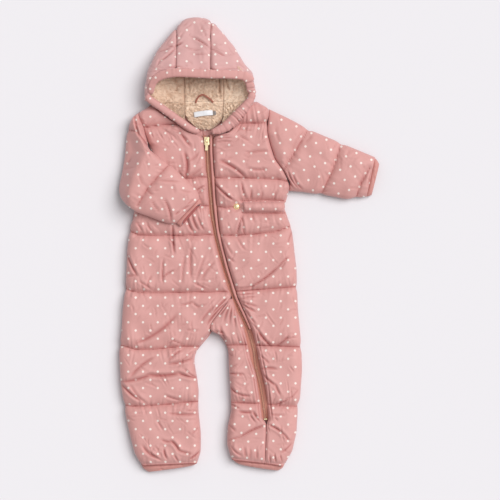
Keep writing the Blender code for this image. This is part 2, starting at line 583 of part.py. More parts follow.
def hood_centre():
    """The strip from brow to nape: up over the crown, round the top and back along the surface."""
    share = np.linspace(0.0, 1.0, CENTRE_COLUMNS)
    right_drop = CENTRE_TOP_DROP[0] * (1.0 - share) ** CENTRE_TOP_CURVE
    left_drop = CENTRE_TOP_DROP[1] * share ** CENTRE_TOP_CURVE
    top_y = HOOD_TOP - right_drop - left_drop
    brow_y = BROW_Y[0] + (BROW_Y[1] - BROW_Y[0]) * share
    bend_y = top_y - HOOD_BEND

    def strip(radius, drop):
        crown = np.linspace(0.0, 1.0, CENTRE_ROWS)[:, None]
        y_up = brow_y + (bend_y - brow_y) * crown
        z_bend = HOOD_BEND + radius
        z_up = z_bend + (BROW_HEIGHT - drop - z_bend) * (1.0 - crown) ** CROWN_CURVE + 0.0 * y_up
        turn = np.linspace(0.0, np.pi, BEND_ROWS)[1:-1, None]
        y_turn = bend_y + radius * np.sin(turn)
        z_turn = HOOD_BEND + radius * np.cos(turn) + 0.0 * y_turn
        back = np.linspace(0.0, 1.0, CENTRE_ROWS)[:, None]
        y_back = bend_y + (BACK_NECK_Y + 1.0 - bend_y) * back
        z_back = np.full_like(y_back, HOOD_BEND - radius)
        y = np.concatenate([y_up, y_turn, y_back])
        on_back = np.arange(len(y))[:, None] > len(y_up) + len(y_turn) // 2
        low_x = np.where(on_back, back_seam(y, 0), CENTRE_FRONT[0])
        high_x = np.where(on_back, back_seam(y, 1), CENTRE_FRONT[1])
        x = low_x + (high_x - low_x) * share
        z = np.concatenate([z_up, z_turn, z_back])
        return np.stack([x, y, z], axis=-1)

    outer = strip(HOOD_BEND, 0.0)
    inner = strip(HOOD_INNER_BEND, HOOD_WALL)
    wall("hood_centre", outer, inner, finish_of("quilted_shell", PINK))


def strip_along(name, rows, material, sides=STRIP_SIDES):
    """A padded strip of oval section along a line, closed at both ends."""
    line = np.array([row[:3] for row in rows])
    half_width = np.array([row[3] for row in rows])[:, None]
    half_height = np.array([row[4] for row in rows])[:, None]
    tangent = np.gradient(line, axis=0)
    side = np.cross(tangent, (0.0, 0.0, 1.0))
    side /= np.linalg.norm(side, axis=1)[:, None]
    up = np.cross(side, tangent)
    up /= np.linalg.norm(up, axis=1)[:, None]
    turn = np.arange(sides) * 2.0 * np.pi / sides
    wide = np.sign(np.cos(turn)) * np.abs(np.cos(turn)) ** STRIP_FLATNESS
    high = np.sign(np.sin(turn)) * np.abs(np.sin(turn)) ** STRIP_FLATNESS
    rings = (line[:, None] + side[:, None] * (half_width * wide)[..., None]
             + up[:, None] * (half_height * high)[..., None])
    count = len(rows)
    faces = [tuple(range(sides)), tuple(range((count - 1) * sides, count * sides))]
    for i in range(count - 1):
        for j in range(sides):
            k = (j + 1) % sides
            faces.append((i * sides + j, i * sides + k, (i + 1) * sides + k, (i + 1) * sides + j))
    return place(name, closed_mesh(name, rings.reshape(-1, 3), faces), material)


def flat_piece(name, rows, base, thick, material):
    """A low cushion of cloth between two edges, one row of (y, x, x) for each section."""
    table = np.array(rows)
    share = np.linspace(0.0, 1.0, LINING_COLUMNS)
    x = table[:, 1:2] + (table[:, 2:3] - table[:, 1:2]) * share
    y = np.repeat(table[:, :1], LINING_COLUMNS, axis=1)
    top = np.stack([x, y, np.full_like(x, base + thick)], axis=-1)
    low = np.stack([x, y, np.full_like(x, base)], axis=-1)
    wall(name, top, low, material)


def side_lining(name, hood_rows, flap_rows):
    """Fleece inside a side panel, up its side wall, and on down to the neck edge strip."""
    fleece = finish_of("fleece_lining", FLEECE)
    base = HOOD_WALL + LINING_GAP
    outer = []
    inner = []
    for row in hood_rows:
        if row[0] > SIDE_LINING_TOP:
            continue
        inset = HOOD_WALL + SIDE_LINING_GAP
        for surface, depth in ((outer, 0.0), (inner, LINING_WALL)):
            surface.append(side_profile(row, inset + depth, base + depth, SIDE_LINING_STEPS,
                                        start=SIDE_LINING_START,
                                        past_seam=LINING_SEAM - SIDE_SEAM_GAP))
    count = len(outer[0])
    share = np.linspace(0.0, 1.0, count)
    for y, x_out, x_in in flap_rows[1:]:
        x = x_out + (x_in - x_out) * share
        flat = np.stack([x, np.full_like(x, y), np.full_like(x, base)], axis=-1)
        outer.append(flat)
        inner.append(flat + np.array([0.0, 0.0, LINING_WALL]))
    wall(name, np.array(outer), np.array(inner), fleece)


def zip_stations(start):
    """Heights from start to the zip's end, the same ones for tapes and coil."""
    y = np.arange(TAPE_TOP_Y, TAPE_END_Y - 1.0, -ZIP_STEP)
    return y[y <= start]


def zip_tapes():
    tape = finish_of("zip_tape", TAPE)
    y = zip_stations(TAPE_TOP_Y)
    coil = across(COIL_LINE, y)
    flap = np.linspace(0.0, 1.0, 2)
    for name, start, stop in (
        ("zip_tape_right", across(ZIP_RIGHT_EDGE, y) + TAPE_SIDE_GAP, coil - COIL_HALF - SEAM_GAP),
        ("zip_tape_left", coil + COIL_HALF + SEAM_GAP, across(ZIP_LEFT_EDGE, y) - TAPE_SIDE_GAP),
    ):
        x = start[:, None] + (stop - start)[:, None] * flap
        plan_y = np.repeat(y[:, None], 2, axis=1)
        top = np.stack([x, plan_y, np.full_like(x, TAPE_BASE + TAPE_WALL)], axis=-1)
        low = np.stack([x, plan_y, np.full_like(x, TAPE_BASE)], axis=-1)
        wall(name, top, low, tape)


def zip_coil():
    y = zip_stations(COIL_TOP_Y)[:-1]
    x = across(COIL_LINE, y)
    z = np.full_like(y, TAPE_BASE + TAPE_WALL)
    half = np.full_like(y, COIL_HALF)
    rows = np.stack([x, y, z, half, np.full_like(y, COIL_HEIGHT)], axis=-1)
    finish = finish_of("zip_coil", GOLD, COIL_ROUGHNESS, COIL_METALLIC)
    strip_along("zip_coil", rows, finish, sides=ROD_SIDES)


def zip_welt():
    y = np.linspace(WELT_LINE[0][0], WELT_LINE[-1][0], WELT_ROWS)
    x = across(WELT_LINE, y)
    z = np.full_like(y, TAPE_BASE + TAPE_WALL + COIL_HEIGHT + SEAM_GAP + WELT_RADIUS)
    half = np.full_like(y, WELT_RADIUS)
    rows = np.stack([x, y, z, half, half], axis=-1)
    strip_along("zip_welt", rows, finish_of("plain_shell", PLAIN), sides=ROD_SIDES)


def block(name, middle, size, material, bevel, turn=0.0):
    """A box with rounded edges, its middle and size in millimetres."""
    mesh = bpy.data.meshes.new(name)
    work = bmesh.new()
    bmesh.ops.create_cube(work, size=1.0)
    bmesh.ops.scale(work, vec=np.array(size) * MM, verts=work.verts)
    work.to_mesh(mesh)
    work.free()
    piece = place(name, mesh, material)
    piece.location = np.array(middle) * MM
    piece.rotation_euler = (0.0, 0.0, np.radians(turn))
    rounded = piece.modifiers.new("rounded", "BEVEL")
    rounded.width = bevel * MM
    rounded.segments = 2
    return piece


def curve_mesh(name, points, radius):
    """A rod of round section through points in millimetres, as a mesh with welded caps."""
    data = bpy.data.curves.new(name, "CURVE")
    data.dimensions = "3D"
    data.bevel_depth = radius * MM
    data.bevel_resolution = 2
    data.use_fill_caps = True
    line = data.splines.new("POLY")
    line.points.add(len(points) - 1)
    for point, place_of in zip(line.points, points):
        point.co = (*(np.array(place_of) * MM), 1.0)
    rod = bpy.data.objects.new(name, data)
    bpy.data.collections[SUIT].objects.link(rod)
    ready = rod.evaluated_get(bpy.context.evaluated_depsgraph_get())
    mesh = bpy.data.meshes.new_from_object(ready)
    bpy.data.objects.remove(rod, do_unlink=True)
    work = bmesh.new()
    work.from_mesh(mesh)
    bmesh.ops.remove_doubles(work, verts=work.verts, dist=WELD)
    bmesh.ops.recalc_face_normals(work, faces=work.faces)
    work.to_mesh(mesh)
    work.free()
    return mesh


def join_in(piece, mesh, cutters, operation):
    """A Boolean of a piece with a mesh, whose object waits in the cutters' collection."""
    tool = bpy.data.objects.new(piece.name + "_" + operation.lower(), mesh)
    cutters.objects.link(tool)
    tool.hide_render = True
    tool.display_type = "WIRE"
    joined = piece.modifiers.new(operation.lower(), "BOOLEAN")
    joined.operation = operation
    joined.object = tool


def zip_slider(cutters):
    """The slider's body with the bridge that holds the pull tab."""
    gold = finish_of("gold_metal", GOLD, METAL_ROUGHNESS, 1.0)
    x, y = SLIDER_MIDDLE
    middle = (x, y, SLIDER_BASE + SLIDER_SIZE[2] / 2)
    body = block("zip_slider", middle, SLIDER_SIZE, gold, SLIDER_BEVEL)
    foot = SLIDER_BASE + SLIDER_SIZE[2] - BRIDGE_SINK
    top = SLIDER_BASE + SLIDER_SIZE[2] + BRIDGE_RISE
    near, far = BRIDGE_LEGS
    bridge = [
        (x, near, foot), (x, near, top - BRIDGE_ROUND), (x, near + BRIDGE_ROUND, top),
        (x, far - BRIDGE_ROUND, top), (x, far, top - BRIDGE_ROUND), (x, far, foot),
    ]
    join_in(body, curve_mesh("bridge", bridge, BRIDGE_RADIUS), cutters, "UNION")


def zip_pull():
    """The pull tab: a flat tongue with an eye round the bridge, lying towards the feet."""
    axis = bpy.data.objects.new("pull_axis", None)
    bpy.data.collections[SUIT].objects.link(axis)
    x = SLIDER_MIDDLE[0]
    axis.location = np.array((x, PULL_AXIS_Y, PULL_AXIS_Z)) * MM
    eye_y = PULL_AXIS_Y - PULL_RIM / 2 - PULL_EYE
    data = bpy.data.curves.new("zip_pull", "CURVE")
    data.dimensions = "2D"
    data.fill_mode = "BOTH"
    data.extrude = PULL_WALL / 2 * MM
    outer = PULL_EYE + PULL_RIM
    tip = PULL_AXIS_Y - PULL_LENGTH
    head = [(outer * np.cos(a), eye_y + outer * np.sin(a)) for a in PULL_HEAD_TURNS]
    outline = head + [(px, tip + above) for px, above in PULL_TONGUE]
    eye = [(PULL_EYE * np.cos(a), eye_y + PULL_EYE * np.sin(a)) for a in PULL_EYE_TURNS]
    for loop in (outline, eye):
        line = data.splines.new("POLY")
        line.points.add(len(loop) - 1)
        for point, (px, py) in zip(line.points, loop):
            point.co = ((x + px) * MM, py * MM, PULL_AXIS_Z * MM, 1.0)
        line.use_cyclic_u = True
    flat = bpy.data.objects.new("zip_pull_outline", data)
    bpy.data.collections[SUIT].objects.link(flat)
    ready = flat.evaluated_get(bpy.context.evaluated_depsgraph_get())
    mesh = bpy.data.meshes.new_from_object(ready)
    bpy.data.objects.remove(flat, do_unlink=True)
    work = bmesh.new()
    work.from_mesh(mesh)
    bmesh.ops.remove_doubles(work, verts=work.verts, dist=WELD)
    lowest = min(v.co.z for v in work.verts)
    highest = max(v.co.z for v in work.verts)
    shift = PULL_AXIS_Z * MM - (lowest + highest) / 2
    bmesh.ops.translate(work, vec=(0.0, 0.0, shift), verts=work.verts)
    bmesh.ops.recalc_face_normals(work, faces=work.faces)
    work.to_mesh(mesh)
    work.free()
    place("zip_pull", mesh, finish_of("gold_metal", GOLD, METAL_ROUGHNESS, 1.0), parent=axis)


def snap_cap(base):
    """The snap's domed cap, turned from its profile."""
    mesh = bpy.data.meshes.new("snap_cap")
    points = [(r * MM, 0.0, z * MM) for r, z in SNAP_PROFILE]
    edges = [(i, i + 1) for i in range(len(points) - 1)]
    mesh.from_pydata(points, edges, [])
    piece = place("snap_cap", mesh, finish_of("gold_metal", GOLD, METAL_ROUGHNESS, 1.0))
    piece.location = (SNAP_PLACE[0] * MM, SNAP_PLACE[1] * MM, base * MM)
    turned = piece.modifiers.new("turned", "SCREW")
    turned.axis = "Z"
    turned.steps = SNAP_STEPS
    turned.render_steps = SNAP_STEPS
    turned.use_merge_vertices = True
    turned.merge_threshold = SCREW_WELD


def waist_casing(front):
    """The elastic's casing: a strip made from the front panel's points, moved out."""
    low = front[CASING_ROWS, CASING_FIRST_COLUMN:] + np.array([0.0, 0.0, SEAM_GAP])
    top = low + np.array([0.0, 0.0, CASING_WALL])
    wall("waist_casing", top, low, finish_of("quilted_shell", PINK))


def build_body():
    """Front and back panels, legs and the waist casing; returns the left front's outer points."""
    right_border = RIGHT_NECK + ZIP_RIGHT_EDGE[:RISE_JOIN + 1] + RISE_SEAM[1:] + RIGHT_LEG_INSIDE
    front_panel("front_right", RIGHT_SIDE, [(y, x - SEAM_GAP) for y, x in right_border],
                RIGHT_FRONT_ROWS, RIGHT_FRONT_COLUMNS)
    left_border = LEFT_NECK + ZIP_LEFT_EDGE[1:] + [(y, x + PLAIN_SEAM_GAP) for y, x in SHIN_SEAM]
    left_front = front_panel("front_left", [(y, x + SEAM_GAP) for y, x in left_border], LEFT_SIDE,
                             LEFT_FRONT_ROWS, LEFT_FRONT_COLUMNS)
    inner_left = [(y, x + SEAM_GAP) for y, x in RISE_SEAM] + LEFT_LEG_INSIDE
    inner_right = [(y, x - SEAM_GAP) for y, x in ZIP_RIGHT_EDGE[RISE_JOIN:]]
    inner_right = inner_right + [(y, x - PLAIN_SEAM_GAP) for y, x in SHIN_SEAM]
    front_panel("front_left_inner", inner_left, inner_right, INNER_FRONT_ROWS, INNER_FRONT_COLUMNS)

    middle_right = [(y, x - PLAIN_SEAM_GAP) for y, x in CENTRE_BACK] + RIGHT_LEG_INSIDE[1:]
    middle_left = [(y, x + PLAIN_SEAM_GAP) for y, x in CENTRE_BACK] + LEFT_LEG_INSIDE[1:]
    back_panel("back_right", [BACK_RIGHT_NECK] + RIGHT_SIDE, middle_right, RIGHT_BACK_END,
               RIGHT_BACK_COLUMNS, 0)
    back_panel("back_left", middle_left, [BACK_LEFT_NECK] + LEFT_SIDE[1:], LEFT_BACK_END,
               LEFT_BACK_COLUMNS, -1)
    waist_casing(left_front)
    return left_front


def build_tubes():
    """Both sleeves with their cuff bindings, and the bindings round the leg hems."""
    shell = finish_of("quilted_shell", PINK)
    plain = finish_of("plain_shell", PLAIN)
    flat_tube("sleeve_left", LEFT_SLEEVE, shell, armhole=LEFT_ARMHOLE)
    flat_tube("cuff_binding_left", LEFT_CUFF, plain)
    flat_tube("sleeve_right", RIGHT_SLEEVE, shell)
    flat_tube("cuff_binding_right", RIGHT_CUFF, plain)
    flat_tube("hem_binding_right", RIGHT_HEM, plain)
    flat_tube("hem_binding_left", LEFT_HEM, plain)


def build_hood():
    """The hood's panels, the strips along its edge, its fleece and what is sewn in the neck."""
    shell = finish_of("quilted_shell", PINK)
    fleece = finish_of("fleece_lining", FLEECE)
    hood_side("hood_right", HOOD_RIGHT)
    hood_side("hood_left", HOOD_LEFT)
    hood_centre()
    strip_along("brow_band", BROW_BAND, shell)
    strip_along("hood_edge_right", RIGHT_EDGE, shell)
    strip_along("hood_edge_left", LEFT_EDGE, shell)

    base = HOOD_WALL + LINING_GAP
    side_lining("lining_right", HOOD_RIGHT, RIGHT_FLAP_ROWS)
    side_lining("lining_left", HOOD_LEFT, LEFT_FLAP_ROWS)
    centre_rows = [(y, back_seam(y, 0) + LINING_SEAM, back_seam(y, 1) - LINING_SEAM)
                   for y in np.linspace(*CENTRE_LINING_Y[::-1], LINING_ROWS)]
    flat_piece("lining_centre", centre_rows, base, LINING_WALL, fleece)
    flat_piece("lining_neck", NECK_LINING_ROWS, base, LINING_WALL, fleece)
    loop = [(x, y, z, LOOP_HALF_WIDTH, LOOP_HALF_HEIGHT) for x, y, z in LOOP_PATH]
    strip_along("hanging_loop", loop, finish_of("loop_ribbon", RIBBON), sides=LOOP_SIDES)
    white = finish_of("white_label", WHITE)
    block("neck_label", LABEL_PLACE, LABEL_SIZE, white, LABEL_BEVEL, LABEL_TURN)
    grey = finish_of("grey_label", GREY)
    block("size_tab", TAB_PLACE, TAB_SIZE, grey, LABEL_BEVEL, LABEL_TURN)


def build_closure(cutters, left_front):
    """The zip with its slider and pull, and the snap on the left front."""
    zip_tapes()
    zip_coil()
    zip_welt()
    zip_slider(cutters)
    zip_pull()
    x, y = STOP_MIDDLE
    stop_z = TAPE_BASE + TAPE_WALL + SEAM_GAP + STOP_SIZE[2] / 2
    gold = finish_of("gold_metal", GOLD, METAL_ROUGHNESS, 1.0)
    block("zip_stop", (x, y, stop_z), STOP_SIZE, gold, STOP_BEVEL)
    to_snap = np.hypot(left_front[..., 0] - SNAP_PLACE[0], left_front[..., 1] - SNAP_PLACE[1])
    snap_cap(float(left_front[..., 2][to_snap < SNAP_REACH].max()) + SEAM_GAP)


def build():
    clear_scene()
    new_collection(SUIT)
    cutters = new_collection("cutters")
    left_front = build_body()
    build_tubes()
    build_hood()
    build_closure(cutters, left_front)


build()
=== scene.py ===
"""A baby's quilted snowsuit laid flat on its back, its right sleeve folded over the chest.

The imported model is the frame: every sewn piece of the suit is made here from its own pattern and
rides on the suit's body, and the zip's metal and the snap keep their modelled shapes.
"""

import bmesh
import bpy
import numpy as np
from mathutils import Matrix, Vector


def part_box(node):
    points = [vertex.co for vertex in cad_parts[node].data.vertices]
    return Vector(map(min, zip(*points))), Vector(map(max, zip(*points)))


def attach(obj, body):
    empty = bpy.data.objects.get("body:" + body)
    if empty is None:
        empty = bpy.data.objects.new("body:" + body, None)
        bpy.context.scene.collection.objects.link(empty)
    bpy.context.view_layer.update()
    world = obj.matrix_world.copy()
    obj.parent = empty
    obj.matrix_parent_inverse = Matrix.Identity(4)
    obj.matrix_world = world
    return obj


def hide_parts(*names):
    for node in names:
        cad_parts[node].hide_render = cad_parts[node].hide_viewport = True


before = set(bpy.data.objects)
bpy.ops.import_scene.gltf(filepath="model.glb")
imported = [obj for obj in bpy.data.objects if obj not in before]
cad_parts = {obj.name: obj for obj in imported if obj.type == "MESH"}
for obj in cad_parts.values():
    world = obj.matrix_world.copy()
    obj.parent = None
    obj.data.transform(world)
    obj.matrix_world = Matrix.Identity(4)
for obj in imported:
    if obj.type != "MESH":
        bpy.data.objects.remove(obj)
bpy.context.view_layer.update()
scene = bpy.context.scene

# Floor, light and camera: the suit lies on a pale seamless floor and is seen from straight above,
# under one broad soft light from the head's left side.
MM = 0.001
FLOOR_SIDE = 12.0
FLOOR_DROP = 0.0004
VIEW_WIDTH = 0.875
VIEW_MIDDLE = (0.00175, -0.0091)
VIEW_HEIGHT = 4.0
SENSOR = 36.0
SUN_FROM = (0.52, 0.30, 0.85)
FLOOR_TINT = (0.790, 0.770, 0.796, 1.0)
SKY_TINT = (1.0, 0.995, 1.0, 1.0)
SUN_STRENGTH = 2.50
SUN_SPREAD = 0.75
SKY_STRENGTH = 0.47

floor_mesh = bpy.data.meshes.new("floor")
floor_half = FLOOR_SIDE / 2
floor_mesh.from_pydata(
    [(floor_half * x, floor_half * y, -FLOOR_DROP) for x, y in ((-1, -1), (1, -1), (1, 1), (-1, 1))],
    [], [(0, 1, 2, 3)])
floor = bpy.data.objects.new("floor", floor_mesh)
scene.collection.objects.link(floor)
floor_finish = bpy.data.materials.new("pale_floor")
floor_finish.use_nodes = True
floor_shader = floor_finish.node_tree.nodes["Principled BSDF"]
floor_shader.inputs["Base Color"].default_value = FLOOR_TINT
floor_shader.inputs["Roughness"].default_value = 0.9
floor_shader.inputs["Specular IOR Level"].default_value = 0.1
floor_mesh.materials.append(floor_finish)

sky = bpy.data.worlds.new("studio")
scene.world = sky
sky.use_nodes = True
sky.node_tree.nodes["Background"].inputs["Color"].default_value = SKY_TINT
sky.node_tree.nodes["Background"].inputs["Strength"].default_value = SKY_STRENGTH
sun = bpy.data.objects.new("softbox", bpy.data.lights.new("softbox", "SUN"))
sun.data.energy = SUN_STRENGTH
sun.data.angle = SUN_SPREAD
sun.rotation_mode = "QUATERNION"
sun.rotation_quaternion = Vector(SUN_FROM).to_track_quat("Z", "Y")
scene.collection.objects.link(sun)

camera = bpy.data.objects.new("camera", bpy.data.cameras.new("camera"))
camera.location = (*VIEW_MIDDLE, VIEW_HEIGHT)
camera.data.sensor_width = SENSOR
camera.data.lens = SENSOR * VIEW_HEIGHT / VIEW_WIDTH
camera.data.clip_end = FLOOR_SIDE
scene.collection.objects.link(camera)
scene.camera = camera
scene.view_settings.view_transform = "Standard"


# The shell cloth: a soft matt polyester in old pink with small cream dots printed in staggered
# rows, woven fine, its colour a little darker in the seams and creases, which is painted shade.
PINK = (0.640, 0.322, 0.298, 1.0)
# Painted shade colour, mixed in where seams and creases fall in shade.
PINK_SHADE = (0.360, 0.080, 0.075, 1.0)
# The hood's copy of the same pink, lighter and cooler: a painted sheen.
PINK_HOOD_SHEEN = (0.640, 0.362, 0.348, 1.0)
PINK_PLAIN = (0.600, 0.270, 0.240, 1.0)
DOT_CREAM = (0.86, 0.76, 0.70, 1.0)
DOT_ACROSS = 0.0257
DOT_DOWN = 0.0143
DOT_RADIUS = 0.0023
DOT_EDGE = 0.0005
DOT_COVER = 0.92
THREAD = 0.00045
WEAVE_BUMP = (0.25, 0.0002)
TONE_NOISE, TONE_SPREAD, TONE_LIGHTER, TONE_DARKER = (90.0, 4.0), 0.34, 1.12, 0.86
ROUGH_SPREAD, SHELL_ROUGH = 0.12, 0.46


def new_group(name, ins, outs):
    """An empty node group with named inputs (name, kind, value) and outputs (name, kind)."""
    group = bpy.data.node_groups.new(name, "ShaderNodeTree")
    for label, kind, value in ins:
        socket = group.interface.new_socket(label, in_out="INPUT", socket_type=kind)
        if value is not None:
            socket.default_value = value
    for label, kind in outs:
        group.interface.new_socket(label, in_out="OUTPUT", socket_type=kind)
    return group, group.nodes.new("NodeGroupInput"), group.nodes.new("NodeGroupOutput")


def math_node(tree, operation, first, second=None, third=None):
    """A Math node fed by sockets or numbers; returns its output."""
    node = tree.nodes.new("ShaderNodeMath")
    node.operation = operation
    for socket, value in zip(node.inputs, (first, second, third)):
        if value is None:
            continue
        if isinstance(value, (int, float)):
            socket.default_value = value
        else:
            tree.links.new(value, socket)
    return node.outputs[0]


def noise_node(tree, place, scale, detail, distortion=0.0):
    """A Noise texture over the given coordinates; returns its value."""
    noise = tree.nodes.new("ShaderNodeTexNoise")
    for socket, value in (("Scale", scale), ("Detail", detail), ("Distortion", distortion)):
        noise.inputs[socket].default_value = value
    tree.links.new(place, noise.inputs["Vector"])
    return noise.outputs["Fac"]


def dot_group():
    """Dots of a radius on a staggered lattice: 1 where the flat cloth's point is in a dot.

    Two square lattices, the second moved half a cell both ways, each by the distance from the
    point to the middle of its cell.
    """
    group, source, result = new_group(
        "printed_dots",
        [("Cloth", "NodeSocketVector", None), ("Across", "NodeSocketFloat", DOT_ACROSS),
         ("Down", "NodeSocketFloat", 2 * DOT_DOWN), ("Radius", "NodeSocketFloat", DOT_RADIUS)],
        [("Dot", "NodeSocketFloat")])
    split = group.nodes.new("ShaderNodeSeparateXYZ")
    group.links.new(source.outputs["Cloth"], split.inputs[0])
    masks = []
    for shift in (0.0, 0.5):
        parts = []
        for axis, cell in ((0, source.outputs["Across"]), (1, source.outputs["Down"])):
            turned = math_node(group, "DIVIDE", split.outputs[axis], cell)
            moved = math_node(group, "ADD", turned, shift)
            inside = math_node(group, "SUBTRACT", math_node(group, "FRACT", moved), 0.5)
            parts.append(math_node(group, "MULTIPLY", inside, cell))
        squares = [math_node(group, "MULTIPLY", part, part) for part in parts]
        away = math_node(group, "SQRT", math_node(group, "ADD", *squares))
        over = math_node(group, "SUBTRACT", source.outputs["Radius"], away)
        masks.append(math_node(group, "DIVIDE", over, DOT_EDGE))
    either = math_node(group, "MAXIMUM", *masks)
    clipped = math_node(group, "MINIMUM", math_node(group, "MAXIMUM", either, 0.0), 1.0)
    group.links.new(clipped, result.inputs["Dot"])
    return group


def weave_group():
    """Plain weave: the product of two thread waves as height, and slow tone changes as tint."""
    group, source, result = new_group(
        "fine_weave",
        [("Cloth", "NodeSocketVector", None), ("Thread", "NodeSocketFloat", THREAD)],
        [("Height", "NodeSocketFloat"), ("Tone", "NodeSocketFloat")])
    split = group.nodes.new("ShaderNodeSeparateXYZ")
    group.links.new(source.outputs["Cloth"], split.inputs[0])
    waves = []
    for axis in (0, 1):
        turned = math_node(group, "DIVIDE", split.outputs[axis], source.outputs["Thread"])
        waves.append(math_node(group, "SINE", math_node(group, "MULTIPLY", turned, np.pi)))
    group.links.new(math_node(group, "MULTIPLY", *waves), result.inputs["Height"])
    group.links.new(noise_node(group, source.outputs["Cloth"], *TONE_NOISE), result.inputs["Tone"])
    return group


PRINTED_DOTS = dot_group()
FINE_WEAVE = weave_group()


def mix_colour(tree, share, first, second):
    """A Mix node of two colours, each a socket or a value."""
    node = tree.nodes.new("ShaderNodeMix")
    node.data_type = "RGBA"
    for socket, value in ((node.inputs[0], share), (node.inputs[6], first), (node.inputs[7], second)):
        if isinstance(value, (tuple, float)):
            socket.default_value = value
        else:
            tree.links.new(value, socket)
    return node.outputs[2]


def new_finish(name, **values):
    """A material with its shader's sockets set by name, an underscore standing for a space."""
    finish = bpy.data.materials.new(name)
    finish.use_nodes = True
    shader = finish.node_tree.nodes["Principled BSDF"]
    for socket, value in values.items():
        shader.inputs[socket.replace("_", " ")].default_value = value
    return finish, finish.node_tree, shader


def shade_in_creases(tree):
    """How much painted shade each point gets in its seams and creases, as the mesh says."""
    node = tree.nodes.new("ShaderNodeAttribute")
    node.attribute_name = "crease_shade"
    return node.outputs["Fac"]


def bumped(tree, shader, height, strength, distance):
    """Sends a height through a Bump node to the shader."""
    bump = tree.nodes.new("ShaderNodeBump")
    bump.inputs["Strength"].default_value = strength
    bump.inputs["Distance"].default_value = distance
    tree.links.new(height, bump.inputs["Height"])
    tree.links.new(bump.outputs[0], shader.inputs["Normal"])


def shell_finish(name, base, shade_colour, dots):
    """Woven polyester: base colour, darkened by painted shade in the seams and creases, with printed dots
    where dots is true.
    """
    finish, tree, shader = new_finish(
        name, Specular_IOR_Level=0.35, Sheen_Weight=0.32, Sheen_Roughness=0.4,
        Sheen_Tint=(0.95, 0.92, 1.0, 1.0))
    cloth = tree.nodes.new("ShaderNodeUVMap")
    cloth.uv_map = "cloth"
    weave = tree.nodes.new("ShaderNodeGroup")
    weave.node_tree = FINE_WEAVE
    tree.links.new(cloth.outputs[0], weave.inputs["Cloth"])
    tone = math_node(tree, "MULTIPLY_ADD", weave.outputs["Tone"], TONE_SPREAD, -TONE_SPREAD / 2)
    light = tuple(min(1.0, c * TONE_LIGHTER) for c in base[:3]) + (1.0,)
    dark = tuple(c * TONE_DARKER for c in base[:3]) + (1.0,)
    colour = mix_colour(tree, math_node(tree, "ADD", tone, 0.5), dark, light)
    if dots:
        spots = tree.nodes.new("ShaderNodeGroup")
        spots.node_tree = PRINTED_DOTS
        tree.links.new(cloth.outputs[0], spots.inputs["Cloth"])
        printed = math_node(tree, "MULTIPLY", spots.outputs["Dot"], DOT_COVER)
        colour = mix_colour(tree, printed, colour, DOT_CREAM)
    # Painted shade: the colour mixed towards the shade colour by each point's share.
    colour = mix_colour(tree, shade_in_creases(tree), colour, shade_colour)
    tree.links.new(colour, shader.inputs["Base Color"])
    bumped(tree, shader, weave.outputs["Height"], *WEAVE_BUMP)
    rough = math_node(tree, "MULTIPLY_ADD", weave.outputs["Tone"], ROUGH_SPREAD, SHELL_ROUGH)
    tree.links.new(rough, shader.inputs["Roughness"])
    return finish


DOTTED_SHELL = shell_finish("dotted_shell", PINK, PINK_SHADE, True)
# The hood's shell is the same cloth, painted lighter and cooler as a sheen.
SHEEN_HOOD_SHELL = shell_finish("hood_shell_painted_sheen", PINK_HOOD_SHEEN, PINK_SHADE, True)
PLAIN_SHELL = shell_finish("plain_shell", PINK_PLAIN, PINK_SHADE, False)


def between(low, high, share):
    """Values a share of the way from low to high."""
    return low + (high - low) * share


def grid_of(x, y, z):
    """A grid of points from coordinates that are each a grid, a row, a column or one value."""
    return np.stack(np.broadcast_arrays(x, y, z), axis=-1)


def run_over(grid, axis):
    """Distance from a grid's first point along one of its axes, over the surface."""
    first = grid[:1] if axis == 0 else grid[:, :1]
    return np.cumsum(np.linalg.norm(np.diff(grid, axis=axis, prepend=first), axis=-1), axis=axis)


def unit(vectors):
    """The same directions with a length of 1."""
    return vectors / np.linalg.norm(vectors, axis=-1, keepdims=True)


def bell(distance, reach):
    """1 at no distance, falling off along a bell curve."""
    return np.exp(-(distance / reach) ** 2)


def quads(grid):
    """The four point numbers round each cell of a grid of point numbers."""
    return np.stack([grid[:-1, :-1], grid[:-1, 1:], grid[1:, 1:], grid[1:, :-1]], -1).reshape(-1, 4)


def copies(faces, count, points):
    """Faces of many equal pieces, each of so many points, from the faces of one."""
    return (np.array(faces)[None] + (np.arange(count) * points)[:, None, None]).reshape(-1, 4)


def wall_faces(rows, columns, ring=False):
    """Quads of a closed wall between two grids of points, the second grid's after the first's."""
    first = np.arange(rows * columns).reshape(rows, columns)
    if ring:
        first = np.concatenate([first, first[:, :1]], axis=1)
    second = first + rows * columns
    parts = [quads(first), quads(second)[:, ::-1]]
    for line in (0, -1):
        parts.append(quads(np.stack([first[line], second[line]])))
        if not ring:
            parts.append(quads(np.stack([first[:, line], second[:, line]])))
    return np.concatenate(parts)


def sewn(name, points, faces, finish, uv=None, crease_shade=None):
    """A piece from points in millimetres, riding on the suit, with its flat cloth as a UV map."""
    mesh = bpy.data.meshes.new(name)
    mesh.from_pydata((points * MM).tolist(), [], faces if isinstance(faces, list) else faces.tolist())
    work = bmesh.new()
    work.from_mesh(mesh)
    bmesh.ops.recalc_face_normals(work, faces=work.faces)
    work.to_mesh(mesh)
    work.free()
    mesh.shade_smooth()
    corner = np.empty(len(mesh.loops), int)
    mesh.loops.foreach_get("vertex_index", corner)
    if uv is not None:
        layer = mesh.uv_layers.new(name="cloth")
        layer.data.foreach_set("uv", (uv[corner] * MM).ravel())
    # The per-point attribute carries the painted shade that the material mixes in.
    if crease_shade is not None:
        layer = mesh.attributes.new("crease_shade", "FLOAT", "POINT")
        layer.data.foreach_set("value", np.clip(crease_shade, 0.0, 1.0))
    mesh.materials.append(finish)
    piece = bpy.data.objects.new(name, mesh)
    scene.collection.objects.link(piece)
    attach(piece, "suit")
    return piece


